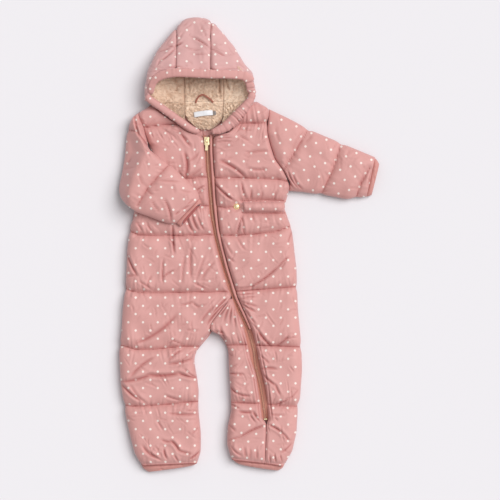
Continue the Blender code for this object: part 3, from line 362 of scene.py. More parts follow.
def walled(name, outer, inner, finish, uv=None, crease_shade=None, ring=False):
    """A closed piece between two grids of points, the second one's cloth as the first one's."""
    points = np.concatenate([outer.reshape(-1, 3), inner.reshape(-1, 3)])
    if uv is not None:
        uv = np.tile(uv.reshape(-1, 2), (2, 1))
    if crease_shade is not None and crease_shade.size < len(points):
        crease_shade = np.tile(crease_shade.ravel(), 2)
    return sewn(name, points, wall_faces(*outer.shape[:2], ring), finish, uv, crease_shade)


def stands_for(node):
    """Hides the modelled node that a piece takes the place of."""
    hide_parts(node)


def wadded(node):
    """The same for a wadded piece."""
    stands_for(node)


def soften(values, passes):
    """Each value moved to the mean of itself and its two neighbours, several times, ends held."""
    for _ in range(passes):
        values[1:-1] = 0.5 * values[1:-1] + 0.25 * (values[:-2] + values[2:])
    return values


def across(border, y):
    """The x of a border given as (y, x) points from head to foot."""
    points = np.array(border)[::-1]
    return np.interp(y, points[:, 0], points[:, 1])


def panel_plan(left, right, rows, step):
    """Plan of a panel: rows of points a step apart between the two borders and the listed heights."""
    table = np.array(rows, float)
    counts = np.maximum(2, np.round(np.abs(np.diff(table, axis=0)).mean(axis=1) / step))
    stations = np.concatenate([[0], np.cumsum(counts)])
    k = np.arange(stations[-1] + 1)
    y_left = np.interp(k, stations, table[:, 0])
    y_right = np.interp(k, stations, table[:, 1])
    x_left = soften(across(left, y_left), 6)
    x_right = soften(across(right, y_right), 6)
    columns = int(np.round(np.max(x_right - x_left) / step)) + 1
    share = np.linspace(0.0, 1.0, columns)
    share = 0.75 * share + 0.25 * (0.5 - 0.5 * np.cos(np.pi * share))
    return (between(x_left[:, None], x_right[:, None], share),
            between(y_left[:, None], y_right[:, None], share))


def to_line(x, y, line):
    """Distance from each point to a line of points, how far along it, and on which side."""
    best = np.full(np.shape(x), 1e9)
    along = np.zeros(np.shape(x))
    side = np.ones(np.shape(x))
    start = 0.0
    for (ax, ay), (bx, by) in zip(line[:-1], line[1:]):
        run = np.hypot(bx - ax, by - ay)
        ux, uy = (bx - ax) / run, (by - ay) / run
        t = np.clip((x - ax) * ux + (y - ay) * uy, 0.0, run)
        away = np.hypot(x - ax - t * ux, y - ay - t * uy)
        near = away < best
        best = np.where(near, away, best)
        along = np.where(near, start + t, along)
        side = np.where(near, np.sign((x - ax) * uy - (y - ay) * ux), side)
        start += run
    return best, along, side, start


RIPPLE_LENGTHS, RIPPLE_SHARES, RIPPLE_MEAN = (6.0, 10.5, 18.0), (0.7, 1.0, 0.7), 0.95
RIPPLE_SHARPNESS, RIPPLE_SCALE, RIPPLE_SWING = 0.75, 1.15, 83.0


def ripple(s, seed):
    """Uneven folds along a seam, about -1 to 1: round tops between sharp valleys, three sizes.

    The sum of three sines' sizes raised to a power below one, less its mean, swelling and fading
    slowly along the seam.
    """
    dice = np.random.default_rng(seed)
    phase = dice.uniform(0.0, 2 * np.pi, 4)
    length = np.array(RIPPLE_LENGTHS) * dice.uniform(0.9, 1.15, 3)
    total = -RIPPLE_MEAN
    for share, size, turn in zip(RIPPLE_SHARES, length, phase):
        total = total + share * np.abs(np.sin(np.pi * s / size + turn)) ** RIPPLE_SHARPNESS
    swing = 0.6 + 0.4 * np.sin(2 * np.pi * s / RIPPLE_SWING + phase[3])
    return RIPPLE_SCALE * total * swing


FOLD_PEAK, FOLD_UNEVEN_OVER, FOLD_SLANT, FOLD_SLANT_OVER, FOLD_VALLEY_SHADE = 6.5, 19.0, 0.35, 31.0, 0.55
QUILT_CURVE = (2.4, 0.6)


def quilting(x, y, seams, reach=22.0, pucker=1.7, seed=1):
    """Share of the full height between quilting seams, the folds they gather, and the painted shade in
    their grooves and fold valleys.

    The share rises from 0 on a seam to 1 at reach along a quarter circle. The folds run square to
    the seam, are highest a few millimetres from it and die out.
    """
    share = np.ones(np.shape(x))
    folds = np.zeros(np.shape(x))
    groove_shade = np.zeros(np.shape(x))
    for index, line in enumerate(seams):
        away, along, side, _ = to_line(x, y, line)
        near = np.clip(away / reach, 0.0, 1.0)
        share = np.minimum(share, (1.0 - (1.0 - near) ** QUILT_CURVE[0]) ** QUILT_CURVE[1])
        for which in (-1, 1):
            turn = seed * 97 + index * 7 + which
            peak = FOLD_PEAK * (0.75 + 0.35 * np.sin(along / FOLD_UNEVEN_OVER + turn))
            rises = (away / peak) * np.exp(1.0 - away / peak)
            slant = along + FOLD_SLANT * away * np.sin(along / FOLD_SLANT_OVER + turn)
            wave = ripple(slant, turn)
            folds += np.where(side == which, pucker * rises * wave, 0.0)
            # Painted shade in the fold valleys and along the seam line.
            valley_shade = FOLD_VALLEY_SHADE * rises * np.clip(-wave - 0.1, 0.0, 1.0)
            groove_shade = np.maximum(groove_shade, np.where(side == which, valley_shade, 0.0))
        groove_shade = np.maximum(groove_shade, bell(away, 1.0))
    return share, folds, groove_shade


STRAY_LENGTH, STRAY_HALF, STRAY_DEPTH, STRAY_BOW = (8.0, 26.0), (1.1, 2.0), (0.4, 1.3), (-2.0, 2.0)


def stray_creases(x, y, count, seed):
    """Small creases in no order: rows for creased(), spread over the plan."""
    dice = np.random.default_rng(seed)
    ax = dice.uniform(x.min(), x.max(), count)
    ay = dice.uniform(y.min(), y.max(), count)
    turn = dice.uniform(0.0, 2 * np.pi, count)
    length = dice.uniform(*STRAY_LENGTH, count)
    half = dice.uniform(*STRAY_HALF, count)
    depth = dice.uniform(*STRAY_DEPTH, count)
    bow = dice.uniform(*STRAY_BOW, count)
    bx, by = ax + length * np.cos(turn), ay + length * np.sin(turn)
    return np.stack([ax, ay, bx, by, half, depth, bow], axis=-1)


CREASE_WIDTH, CREASE_END_FADE, CREASE_PAST = 0.78, 0.75, 1.5
LIP_HEIGHT, LIP_AWAY, LIP_WIDTH = 0.5, 2.1, 1.3
SHADE_WIDTH, SHADE_FULL_DEPTH = 0.6, 3.2


def creased(x, y, table):
    """Creases: a soft trough along each bent line, with raised lips, fading at its ends.

    Each row is (x, y) of its two ends, half width, depth and how far its middle bows out. A
    negative depth is a ridge.
    """
    height = np.zeros(np.shape(x))
    shade = np.zeros(np.shape(x))
    for ax, ay, bx, by, wide, depth, bow in table:
        half = CREASE_WIDTH * wide
        run = np.hypot(bx - ax, by - ay)
        ux, uy = (bx - ax) / run, (by - ay) / run
        t = ((x - ax) * ux + (y - ay) * uy) / run
        v = (x - ax) * uy - (y - ay) * ux - bow * (1.0 - (2.0 * np.clip(t, 0.0, 1.0) - 1.0) ** 2)
        past = np.maximum(np.maximum(-t, t - 1.0), 0.0) * run
        inner = np.clip(t, 0.0, 1.0)
        fade = (1.0 - (2.0 * inner - 1.0) ** 4 * CREASE_END_FADE) * bell(past, CREASE_PAST * half)
        lips = bell(np.abs(v) - LIP_AWAY * half, LIP_WIDTH * half)
        height += depth * fade * (LIP_HEIGHT * lips - bell(v, half))
        # Painted shade along the trough of each, stronger the deeper it is.
        if depth > 0.0:
            dark = fade * bell(v, SHADE_WIDTH * half) * min(depth / SHADE_FULL_DEPTH, 1.0)
            shade = np.maximum(shade, dark)
    return height, shade


FRONT_RUMPLE, TUBE_RUMPLE, HOOD_RUMPLE, TAPE_RUMPLE = (0.9, 46.0), (0.7, 40.0), (0.9, 34.0), (0.12, 30.0)


def rumple(x, y, size, seed):
    """Slow uneven ground from -1 to 1: twelve waves in random directions of about one length."""
    dice = np.random.default_rng(seed)
    total = np.zeros(np.shape(x))
    for _ in range(12):
        turn = dice.uniform(0.0, 2 * np.pi)
        wave = 2 * np.pi / (size * dice.uniform(0.6, 1.6))
        total += np.sin(wave * (x * np.cos(turn) + y * np.sin(turn)) + dice.uniform(0.0, 2 * np.pi))
    return total / 3.5


def rounded(distance, reach):
    """0 on an edge and 1 from reach inwards, along a quarter of a circle."""
    near = np.clip(distance / reach, 0.0, 1.0)
    return np.sqrt(1.0 - (1.0 - near) ** 2)


def turned_plan(x, y, turn, origin):
    """Flat cloth coordinates: the plan turned by an angle in degrees about an origin."""
    c, s = np.cos(np.radians(turn)), np.sin(np.radians(turn))
    dx, dy = x - origin[0], y - origin[1]
    return np.stack([dx * c + dy * s, dy * c - dx * s], axis=-1)


# Front panels: two layers of the shell with wadding between, quilted across in rows, cut in one
# from neck to hem on the right, and on the left in an outer panel and a narrow inner one that meet
# at the zip and below it. They are sewn to the back along the sides and the inside of the legs.
RIGHT_SIDE = [
    (242.9, -170.5), (230.7, -192.5), (225.4, -193), (200.9, -184.5), (178.2, -175), (162, -172),
    (140, -183), (117, -194), (96, -200), (78, -202), (48.7, -200.5), (31.2, -208.3), (-9, -212.8),
    (-42.4, -213.9), (-75.6, -216.1), (-110, -220.5), (-154, -222.8), (-175, -226.5), (-193, -226.5),
    (-242, -224), (-291, -216.5), (-327.6, -209), (-364.4, -199.5), (-381, -190), (-386, -186.8),
]
LEFT_SIDE = [
    (251.7, 9.5), (237.3, 35.7), (197.4, 31.5), (172.9, 37.6), (148.9, 45.5), (132.7, 57.8), (108.7, 71.8),
    (94.7, 70), (87.2, 67.7), (73.2, 63), (57.4, 63), (40.4, 70), (32.9, 73.9), (2.3, 77.9), (-42.4, 83),
    (-110, 85.2), (-175.4, 91.5), (-217.4, 92.8), (-266.4, 89.3), (-284, 85.4), (-327.6, 83), (-360, 75.6),
    (-382, 63), (-387, 59.5),
]
ZIP_RIGHT_EDGE = [
    (192, -80.3), (185.2, -79.1), (160.7, -77.2), (130.9, -75.3), (115.2, -72.5), (87.2, -70.9),
    (55.7, -69.1), (29.4, -63.9), (8.4, -60), (-18.7, -53.4), (-46.7, -45.5), (-76.8, -36.8),
    (-89.6, -29.8), (-116.9, -22.1), (-136, -13.1), (-173.6, -5.3), (-202.8, 1), (-224.4, 8.8),
    (-246.6, 12.3), (-276.3, 16.8), (-304.5, 20),
]
ZIP_LEFT_EDGE = [
    (192, -63), (165.9, -63), (122.2, -60), (73.2, -56.7), (31.2, -52.2), (15.4, -49.7), (-10.9, -43.2),
    (-40.6, -35.4), (-68.6, -26.3), (-87.9, -21), (-101.9, -14.9), (-122.9, -5.3), (-154.4, 7),
    (-190.4, 15.2), (-215.6, 20), (-245.4, 27.7), (-268.1, 31.5), (-305.9, 34),
]
RISE_JOIN = 12
RISE_SEAM = [(-89.6, -29.8), (-112, -47), (-132, -63), (-144, -69), (-152, -67)]
RIGHT_LEG_INSIDE = [
    (-153.7, -68), (-180.6, -89), (-195.5, -97.5), (-227.3, -91.4), (-254, -87.5), (-284, -89),
    (-327.6, -84), (-360, -84), (-377, -89), (-382, -91.5),
]
LEFT_LEG_INSIDE = [
    (-153, -60), (-158.6, -47.3), (-180.6, -36.1), (-217.4, -35), (-254, -32.4), (-291, -31.2),
    (-315.4, -37.3), (-347.7, -38.5), (-371.4, -31.5), (-377, -28),
]
SHIN_SEAM = [(-309, 30.5), (-387, 28)]
RIGHT_NECK = [(242.5, -170), (193.6, -104.3), (192.6, -82)]
LEFT_NECK = [
    (251, 8.5), (246, 2.2), (233, -9), (219, -17.5), (200.5, -29.2), (193, -41), (192, -62),
]
PANEL_STEP = 2.0
BACK_WALL = 9.0
FRONT_BASE = 9.3
FRONT_SEAM_WALL = 4.0
FRONT_CROWN_WALL = 15.5
STRAY_AREA = 320.0
SNAP_PLACE = (-21.5, 66.5)
SNAP_DIMPLE = 8.5
SNAP_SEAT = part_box("snap_cap")[0][2] / MM - 0.5

# How a panel's border is rounded down: from each height y on, the reach and the height left.
SIDE, ARMHOLE, ZIPPED, JOINED = (20.0, 0.8), (8.0, 6.5), (8.0, 4.0), (4.0, 11.5)
RIGHT_SIDE_EDGE = [(238.0, *SIDE), (232.0, *ARMHOLE), (178.0, *ARMHOLE), (172.0, *SIDE)]
LEFT_SIDE_EDGE = [(246.0, *SIDE), (240.0, *ARMHOLE), (100.0, *ARMHOLE), (94.0, *SIDE)]
RIGHT_INNER_EDGE = [(198.0, *JOINED), (191.0, *ZIPPED), (-87.0, *ZIPPED), (-92.0, *JOINED),
                    (-149.0, *JOINED), (-160.0, 15.0, 0.8)]
LEFT_ZIP_EDGE = [(198.0, *JOINED), (191.0, *ZIPPED), (-304.0, *ZIPPED), (-309.0, *JOINED)]
INNER_LEG_EDGE = [(-149.0, *JOINED), (-160.0, 15.0, 0.8)]
NECK_END, HEM_END = [(0.0, 10.0, 4.0)], [(0.0, 8.0, 9.6)]
SIDE_NOTCH, NOTCH_REACH, TUBE_NOTCH_REACH = 2.4, 7.0, 6.0

# Quilting seams, each from its right end to its left, and the creases: two ends, half
# width, depth, bow
RIGHT_FRONT_ROWS = [(241, 241), (209, 210), (195, 194.2), (116, 116), (68, 68),
                    (24, 17), (-76, -82), (-152, -144), (-176, -177),
                    (-280, -273), (-385, -381)]
RIGHT_FRONT_SEAMS = [
    [(-186, 204), (-150, 209), (-127, 210.5), (-100, 207)], [(-194, 112), (-140, 116), (-108, 115.8),
    (-72, 118.5)], [(-202, 68), (-150, 67), (-84, 69), (-70, 67.5)], [(-207.5, 24.2), (-194, 17.5),
    (-165, 16.5), (-120, 16), (-60, 17.5)], [(-217, -75), (-205, -80.5), (-194, -82.5), (-150, -83.5),
    (-90, -82.5), (-37, -81.5)], [(-225, -175), (-212, -178), (-199, -182), (-160, -181.5), (-120, -177),
    (-88, -177)], [(-217.5, -280), (-190, -281.5), (-150, -279), (-120, -275.5), (-88, -272.5)],
    [(-188, -385), (-90, -381)],
]
RIGHT_FRONT_CREASES = [
    (-112, 160, -111, 118, 3.4, 3.6, -4), (-105, 144, -87, 160, 2.4, 1.7, 1),
    (-121.5, 203, -102.5, 172, 3, 2.6, 2), (-152, 204, -128, 188, 3, 1, 1),
    (-75, 103, -93, 93, 2, 2.6, 1.5), (-76, 97, -90, 87, 1.8, 2, 1), (-78, 136, -99, 120, 2.6, 1.4, 0),
    (-92, 204, -80, 190, 2.2, 1.6, 1), (-109, 52, -97, 22, 2.6, 3, 2), (-99, 52, -89, 26, 2.4, 2.6, 1.5),
    (-89, 48, -79, 27, 2.2, 2, 1), (-132.5, 34, -130, -14, 2.3, 4.2, 1), (-178, 38, -166, 20, 2.4, 1.8, 1),
    (-196, 40, -186, 24, 2.4, 1.6, 0), (-213, -12, -195, -53, 2.6, 3.8, 2),
    (-195, -53, -212, -56, 2.6, 2, 1), (-149, -26, -150, -66, 2.4, 2.4, 1),
    (-129.5, -44, -152, -59, 2.2, 2.4, 1.5), (-128, -2, -140, 12, 2.2, 1.6, 0),
    (-100, -2, -101, -58, 3, 2, 1.5), (-112, -20, -116, -66, 2.6, 1.5, 1),
    (-60, -30, -83, -62, 2.6, 1.9, 2), (-76, -18, -92, -64, 2.4, 1.3, 1),
    (-170, -54, -178, -76, 2.4, 1.8, 1), (-190, -64, -168, -78, 2.4, 1.8, 0),
    (-96, -66, -76, -76, 2.6, 1.8, 0), (-38, -92, -62, -118, 2.2, 3.2, 1),
    (-42, -103, -73, -138, 2.4, 3, 1.5), (-60, -106, -84, -134, 2.6, 1.8, 1),
    (-119, -105, -98, -99, 2.4, 2, 1), (-98, -101, -88, -109, 2.2, 2, 0),
    (-90, -108, -76, -104, 2.2, 1.8, 0), (-127, -123, -198, -172, 5, 2.6, -6),
    (-107, -148, -88, -148.5, 2.2, 1.8, 1), (-134, -166, -118, -172, 2, 2.2, 0),
    (-140, -172, -128, -164, 2, 1.6, 0), (-222, -238, -170, -225, 3.6, 3, 3),
    (-176, -226, -122, -223.5, 3.8, 4.2, 3), (-124, -223, -90, -231, 3, 3.4, 1.5),
    (-112, -217, -92, -230, 2.2, 2.2, 1), (-140, -208, -97, -197.5, 2.8, 2.8, 1.5),
    (-116, -183, -140, -202, 2.6, 2.6, 2), (-207, -231, -166, -196, 3.2, 2.4, -3),
    (-98, -186, -122, -208, 2.4, 1.8, 1), (-222, -243, -189, -271, 3, 3.2, 2),
    (-206, -246, -178, -276, 2.6, 1.6, 2), (-146, -262, -120, -270, 2.6, 2.2, 1),
    (-140, -293, -90, -294.5, 3.2, 2.4, 1.5), (-112, -287, -88, -289, 2.2, 1.8, 0.5),
    (-160, -306, -150, -322, 2.2, 1.6, 0), (-152, -340, -134, -343, 2.6, 2.4, 1),
    (-136, -341, -122, -358, 2.8, 3.6, -1.5), (-124, -357, -101, -363, 2.6, 2.6, 1),
    (-104, -373, -86, -359, 2.4, 3.8, 1), (-148, -356, -143, -372, 2.2, 3, 1),
    (-185, -350, -160, -371, 3, 2.4, 3), (-172, -362, -152, -375, 2.2, 2, 1),
    (-130, -366, -124, -376, 2, 2.2, 0), (-100, -330, -88, -318, 2.4, 1.8, 0),
    (-196, 128, -168, 124, 3, 1.5, 0),
]


def side_notches(x, y, seams, left, right):
    """The plan with its outline drawn in where a quilting seam meets it, along a bell curve."""
    share = (x - x[:, :1]) / (x[:, -1:] - x[:, :1])
    for column, pulled, sign in ((0, left, 1.0), (-1, right, -1.0)):
        if not pulled:
            continue
        near = np.min([to_line(x[:, column], y[:, column], line)[0] for line in seams], axis=0)
        pull = SIDE_NOTCH * bell(near, NOTCH_REACH)
        weight = (1.0 - share if sign > 0 else share) ** 2
        x = x + sign * pull[:, None] * weight
    return x


def front_top(x, y, seams, creases, edges, ends, seed):
    """Outer surface of a front panel, and the painted shade each point gets in seams, fold valleys and
    creases.

    Height is the base, plus the quilted wadding with its folds and creases, rounded down along the
    four edges, as far as each edge's table says at its height y.
    """
    share, folds, groove_shade = quilting(x, y, seams, seed=seed)
    trough, shade = creased(x, y, creases)
    count = int((x.max() - x.min()) * (y.max() - y.min()) / STRAY_AREA)
    stray, stray_shade = creased(x, y, stray_creases(x, y, count, seed + 5))
    full = FRONT_SEAM_WALL + (FRONT_CROWN_WALL - FRONT_SEAM_WALL) * share
    full = full + folds + trough + share * (stray + FRONT_RUMPLE[0] * rumple(x, y, FRONT_RUMPLE[1], seed))
    to_snap = np.hypot(x - SNAP_PLACE[0], y - SNAP_PLACE[1])
    pressed = np.exp(-(to_snap / SNAP_DIMPLE) ** 4)
    full = full + (SNAP_SEAT - FRONT_BASE - full) * pressed
    away = (x - x[:, :1], x[:, -1:] - x, y[:1] - y, y - y[-1:])
    swell = np.ones_like(x)
    rim = np.zeros_like(x)
    for gap, edge in zip(away, (*edges, *ends)):
        at, *sizes = np.array(edge)[::-1].T
        reach, height = (np.interp(y, at, size) for size in sizes)
        near = rounded(gap, reach)
        rim = np.maximum(rim, height * (1.0 - near))
        swell = swell * near
    top = FRONT_BASE + np.maximum(rim, 0.6) + np.maximum(full, 1.5) * swell
    return top, np.maximum(np.maximum(0.9 * groove_shade, 0.95 * shade), 0.6 * stray_shade)


def front_panel(name, left, right, rows, seams, creases, edges, seed, dots):
    """A closed padded panel lying on the back, standing for the modelled node of its name."""
    x, y = panel_plan(left, right, rows, PANEL_STEP)
    uv = turned_plan(x, y, *dots)
    x = side_notches(x, y, seams, edges[0] is RIGHT_SIDE_EDGE, edges[1] is LEFT_SIDE_EDGE)
    z, shade = front_top(x, y, seams, creases, edges, (NECK_END, HEM_END), seed)
    top = grid_of(x, y, z)
    piece = walled(name + "_cloth", top, grid_of(x, y, FRONT_BASE), DOTTED_SHELL, uv, shade)
    wadded(name)
    return top


right_border = RIGHT_NECK + ZIP_RIGHT_EDGE[:RISE_JOIN + 1] + RISE_SEAM[1:] + RIGHT_LEG_INSIDE
front_right = front_panel(
    "front_right", RIGHT_SIDE, right_border, RIGHT_FRONT_ROWS, RIGHT_FRONT_SEAMS,
    RIGHT_FRONT_CREASES, (RIGHT_SIDE_EDGE, RIGHT_INNER_EDGE), 11,
    (0.0, (-107.15, 8.25)))

LEFT_FRONT_ROWS = [(249, 249), (212, 212), (195, 195), (191.7, 186), (117, 111),
                   (76, 77), (56, 55), (16, 34), (-81, -73), (-140, -140),
                   (-175, -178), (-278, -280), (-303, -306), (-381.5, -386)]
LEFT_FRONT_SEAMS = [
    [(-19, 211), (0, 211.5), (33, 213.5)], [(-60, 117), (-20, 117), (20, 116), (48, 114.5), (72, 110)],
    [(-57, 67), (-40, 64.5), (-26, 66), (-17, 66.5)], [(-14, 77), (30, 78), (66, 77)], [(-11, 55),
    (30, 54.5), (66, 56)], [(-51, 16.5), (-20, 16.5), (20, 19.5), (45, 22.5), (60, 27.5), (75, 35)],
    [(-27, -82), (0, -79), (30, -77.5), (84, -73)], [(9, -175), (40, -176), (92, -178.5)], [(30, -278),
    (55, -280), (88, -281.5)], [(28, -381.5), (61, -386)],
]
LEFT_FRONT_CREASES = [
    (-50, 146, -7, 118, 3.2, 3.6, -3), (-62, 110, -31, 79, 2.4, 4.2, 1.5), (-43, 91, -25, 77, 2, 2.6, 1),
    (-13, 109, -6, 82, 2.2, 3.2, 1), (3.5, 96, 3.5, 79, 2.2, 2.2, 0), (24, 92, 20, 79, 2.2, 1.6, 0),
    (48, 94, 44, 79, 2.2, 1.8, 0), (-12, 51, -21, 19, 2.2, 3, 0), (-12, 49, -8, 17, 2.2, 2.8, 0),
    (6, 52, 8, 40, 2.2, 1.8, 0), (30, 52, 34, 42, 2.2, 1.5, 0), (-62, 188.5, -34, 189.5, 1.8, 2.2, -1.5),
    (-62, 182.5, -28, 185, 1.8, 2, -2), (-60, 177, -30, 179, 2, 1.6, -2), (-2, 133, 32, 132, 3, 2, 2),
    (-6, 158, 35, 163, 3, 1.8, -2), (-20, 203, 4, 199, 2.2, 1.8, 0), (-18, 192, 0, 181, 2.4, 1.6, 1),
    (-58, 142, -30, 152, 3, 1.2, 0), (69, -21, 51, -39, 2.4, 2.8, 1), (52, -37, 2, -74, 2.6, 3.4, -2.5),
    (64, -30, 55, -42, 2.2, 2.2, 0), (76, 24, 68, 2, 2.4, 2.2, 1), (-25, -76, 12, -72, 2, 2, 1),
    (-23, -88, 8, -85, 2, 2.2, -1), (-18, -96, 12, -90, 2.2, 1.8, -1), (-20, 12, -8, -8, 2.4, 1.6, 1),
    (-42, 8, -30, -16, 2.6, 1.4, 1), (-38, -20, -26, -30, 2.2, 1.5, 0), (-12, -102, 10, -116, 2, 2.6, 1),
    (-14, -98, 14, -107, 2, 2, 1), (-4, -116, 12, -138, 2.2, 2.2, 1), (4, -134, 16, -150, 2.2, 1.6, 0),
    (16, -150, 38, -176, 2.8, 3.6, 1.5), (47, -177, 69, -158, 2.6, 2.8, 1.5),
    (60, -164, 84, -160, 2.4, 1.4, 0), (20, -192, 34, -206, 2.2, 1.8, 0),
    (20, -216, 48, -216, 2.6, 3, -1.5), (24, -225, 46, -245, 2.4, 3, 1),
    (46, -244, 54, -261, 2.4, 2.2, 0.5), (43, -279, 69, -268, 2.4, 2.6, 1.5),
    (70, -268, 86, -252, 2.4, 1.8, 1), (52, -281, 56, -269, 2, 1.8, 0), (35, -294, 62, -296, 2.4, 1.8, 1),
    (34, -313, 58, -328, 2.4, 3.8, -1.5), (58, -327, 70, -342, 2.2, 2.4, -0.5),
    (44, -300, 50, -306, 2, 1.5, 0), (56, -362, 74, -346, 2.6, 2.2, 1), (44, -365, 47, -378, 1.8, 2.4, 0),
    (36, -368, 37, -379, 1.8, 2, 0), (54, -366, 58, -378, 1.8, 2, 0), (12, -148, 21.5, -190, 1.7, 2.2, 0),
    (21.5, -190, 33.5, -245, 1.7, 2.2, 0), (33.5, -245, 40, -302, 1.7, 2.2, 0),
]
left_border = LEFT_NECK + ZIP_LEFT_EDGE[1:] + [(y, x + 0.1) for y, x in SHIN_SEAM]
front_left = front_panel(
    "front_left", left_border, LEFT_SIDE, LEFT_FRONT_ROWS, LEFT_FRONT_SEAMS, LEFT_FRONT_CREASES,
    (LEFT_ZIP_EDGE, LEFT_SIDE_EDGE), 23, (0.0, (-9.0, 2.0)))

INNER_FRONT_ROWS = [(-94, -94), (-122, -122), (-152, -152), (-175, -174),
                    (-275, -276.5), (-375, -381.5)]
INNER_FRONT_SEAMS = [
    [(-40, -174.5), (-20, -174), (-4, -174)], [(-34, -274), (-10, -275.5), (18, -277)], [(-29, -375),
    (28, -381.5)],
]
INNER_FRONT_CREASES = [
    (-36, -104, -52, -124, 1.8, 2.4, 0), (-33, -104, -44, -134, 2, 2, 1),
    (-29, -106, -34, -138, 1.8, 2.4, 1), (-25, -112, -24, -144, 1.8, 2.2, 0.5),
    (-20, -122, -14, -148, 1.8, 2, 0), (-58, -151, -46, -153, 2.6, 3.4, 0),
    (-50, -143, -40, -166, 2.4, 3, 1), (-40, -186, -28, -194, 2.4, 1.8, 0),
    (-36, -223, -10, -225, 2.4, 3.2, 1), (-32, -214, -20, -208, 2.2, 1.4, 0),
    (-33, -246, -20, -259, 2.6, 3.4, 1.5), (-20, -259, 2, -263, 2.4, 3, 1),
    (-34, -276, -17, -284, 2, 3.4, 0.5), (-18, -290, 6, -291, 2.8, 3.2, 1),
    (7, -290, 18, -306, 2.2, 2.8, 1), (2, -296, 10, -308, 2, 2, 0), (28, -314, -16, -335, 2.6, 3.6, 2),
    (-15, -335, -36, -341, 2.4, 2, 1), (-36, -312, -24, -324, 2.4, 1.8, 0),
    (-30, -352, -14, -366, 2.4, 2.2, 2), (-8, -352, -6, -368, 2, 2.8, 0), (2, -356, 2, -370, 2, 2.2, 0),
    (14, -358, 14, -372, 2, 2.2, 0), (-11.5, -150, -2, -196, 1.6, 2.4, 0),
    (-2, -196, 7.3, -226, 1.6, 2.4, 0), (7.3, -226, 15.5, -276, 1.6, 2.4, 0),
    (15.5, -276, 18.7, -303, 1.6, 2.4, 0),
]
inner_left = [(y, x + 0.2) for y, x in RISE_SEAM] + LEFT_LEG_INSIDE
inner_right = ([(y, x - 0.3 + 3.2 * min(1.0, max(0.0, (-110.0 - y) / 30.0)))
                for y, x in ZIP_RIGHT_EDGE[RISE_JOIN:]]
               + [(y, x - 0.1) for y, x in SHIN_SEAM])
front_inner = front_panel(
    "front_left_inner", inner_left, inner_right, INNER_FRONT_ROWS, INNER_FRONT_SEAMS,
    INNER_FRONT_CREASES, (INNER_LEG_EDGE, LEFT_ZIP_EDGE), 37, (-4.0, (-3.0, 2.0)))


# Back panels: the same quilted cloth, pressed flat by the suit's weight, its seams sunk into the
# underside and its outer edge rounded up to the side seam.
CENTRE_BACK = [(249.5, -85), (0, -66), (-152, -62)]
BACK_STEP = 5.0
BACK_GROOVE = 2.2
BACK_EDGE = (14.0, 7.6)
BACK_JOIN = (5.0, 3.0)
BACK_ROWS = [(249.5, 249.5), (120, 120), (-76, -76), (-152, -152)]
BACK_SEAMS = [[(-230, right), (100, left)] for right, left in (
    (208, 208), (114, 112), (66, 66), (19, 22), (-80, -76), (-177, -177), (-278, -279))]


def back_panel(name, left, right, end, edges, seed):
    """A closed padded panel on the floor: flat on top, its underside lifted in seams and at edges."""
    x, y = panel_plan(left, right, BACK_ROWS + [end], BACK_STEP)
    uv = turned_plan(x, y, 0.0, (0.0, 0.0))
    x = side_notches(x, y, BACK_SEAMS, edges[0] is BACK_EDGE, edges[1] is BACK_EDGE)
    share, _, groove_shade = quilting(x, y, BACK_SEAMS, reach=9.0, seed=seed)
    lift = BACK_GROOVE * (1.0 - share)
    for gap, (reach, height) in zip((x - x[:, :1], x[:, -1:] - x), edges):
        lift = np.maximum(lift, height * (1.0 - rounded(gap, reach)))
    # Painted shade along the quilting seams.
    piece = walled(name + "_cloth", grid_of(x, y, BACK_WALL), grid_of(x, y, lift), DOTTED_SHELL, uv,
                   0.75 * groove_shade)
    wadded(name)


back_panel("back_right", [(249.5, -165.0)] + RIGHT_SIDE,
           [(y, x - 0.05) for y, x in CENTRE_BACK] + RIGHT_LEG_INSIDE[1:],
           (-380.0, -376.0), (BACK_EDGE, BACK_JOIN), 51)
back_panel("back_left", [(y, x + 0.05) for y, x in CENTRE_BACK] + LEFT_LEG_INSIDE[1:],
           [(252.0, 8.0)] + LEFT_SIDE[1:], (-371.0, -381.0), (BACK_JOIN, BACK_EDGE), 53)


# Waist casing: a strip of the shell sewn over the left front, gathered by the elastic in it.
CASING_HEIGHTS = (56.5, 76.0)
CASING_END = -11.0
CASING_GAP = 0.4
CASING_SWELL = 2.2

inside = (front_left[:, 2, 1] < CASING_HEIGHTS[1]) & (front_left[:, 2, 1] > CASING_HEIGHTS[0])
band = front_left[inside]
band = band[:, band[0, :, 0] > CASING_END]
casing_low = band + np.array([0.0, 0.0, CASING_GAP])
casing_share = np.linspace(0.0, 1.0, len(band))[:, None]
casing_x, casing_y = band[..., 0], band[..., 1]
casing_folds = (1.6 * ripple(casing_x + 2.0 * np.sin(casing_y / 6.0), 5)
                * np.sin(np.pi * casing_share) ** 0.5)
casing_swell = rounded(1.0 - np.abs(2 * casing_share - 1), 0.6) * rounded(casing_x - casing_x[:, :1], 3.0)
casing_top = casing_low.copy()
casing_top[..., 2] += 0.7 + (CASING_SWELL + casing_folds) * casing_swell
casing_uv = turned_plan(casing_x * 1.15, casing_y, 0.0, (2.0, 5.0))
# The casing's colour is darkened in the valleys of its gathers: painted shade.
casing = walled("waist_casing_cloth", casing_top, casing_low, DOTTED_SHELL, casing_uv,
                np.clip(-0.6 * casing_folds, 0.0, 1.0))
wadded("waist_casing")


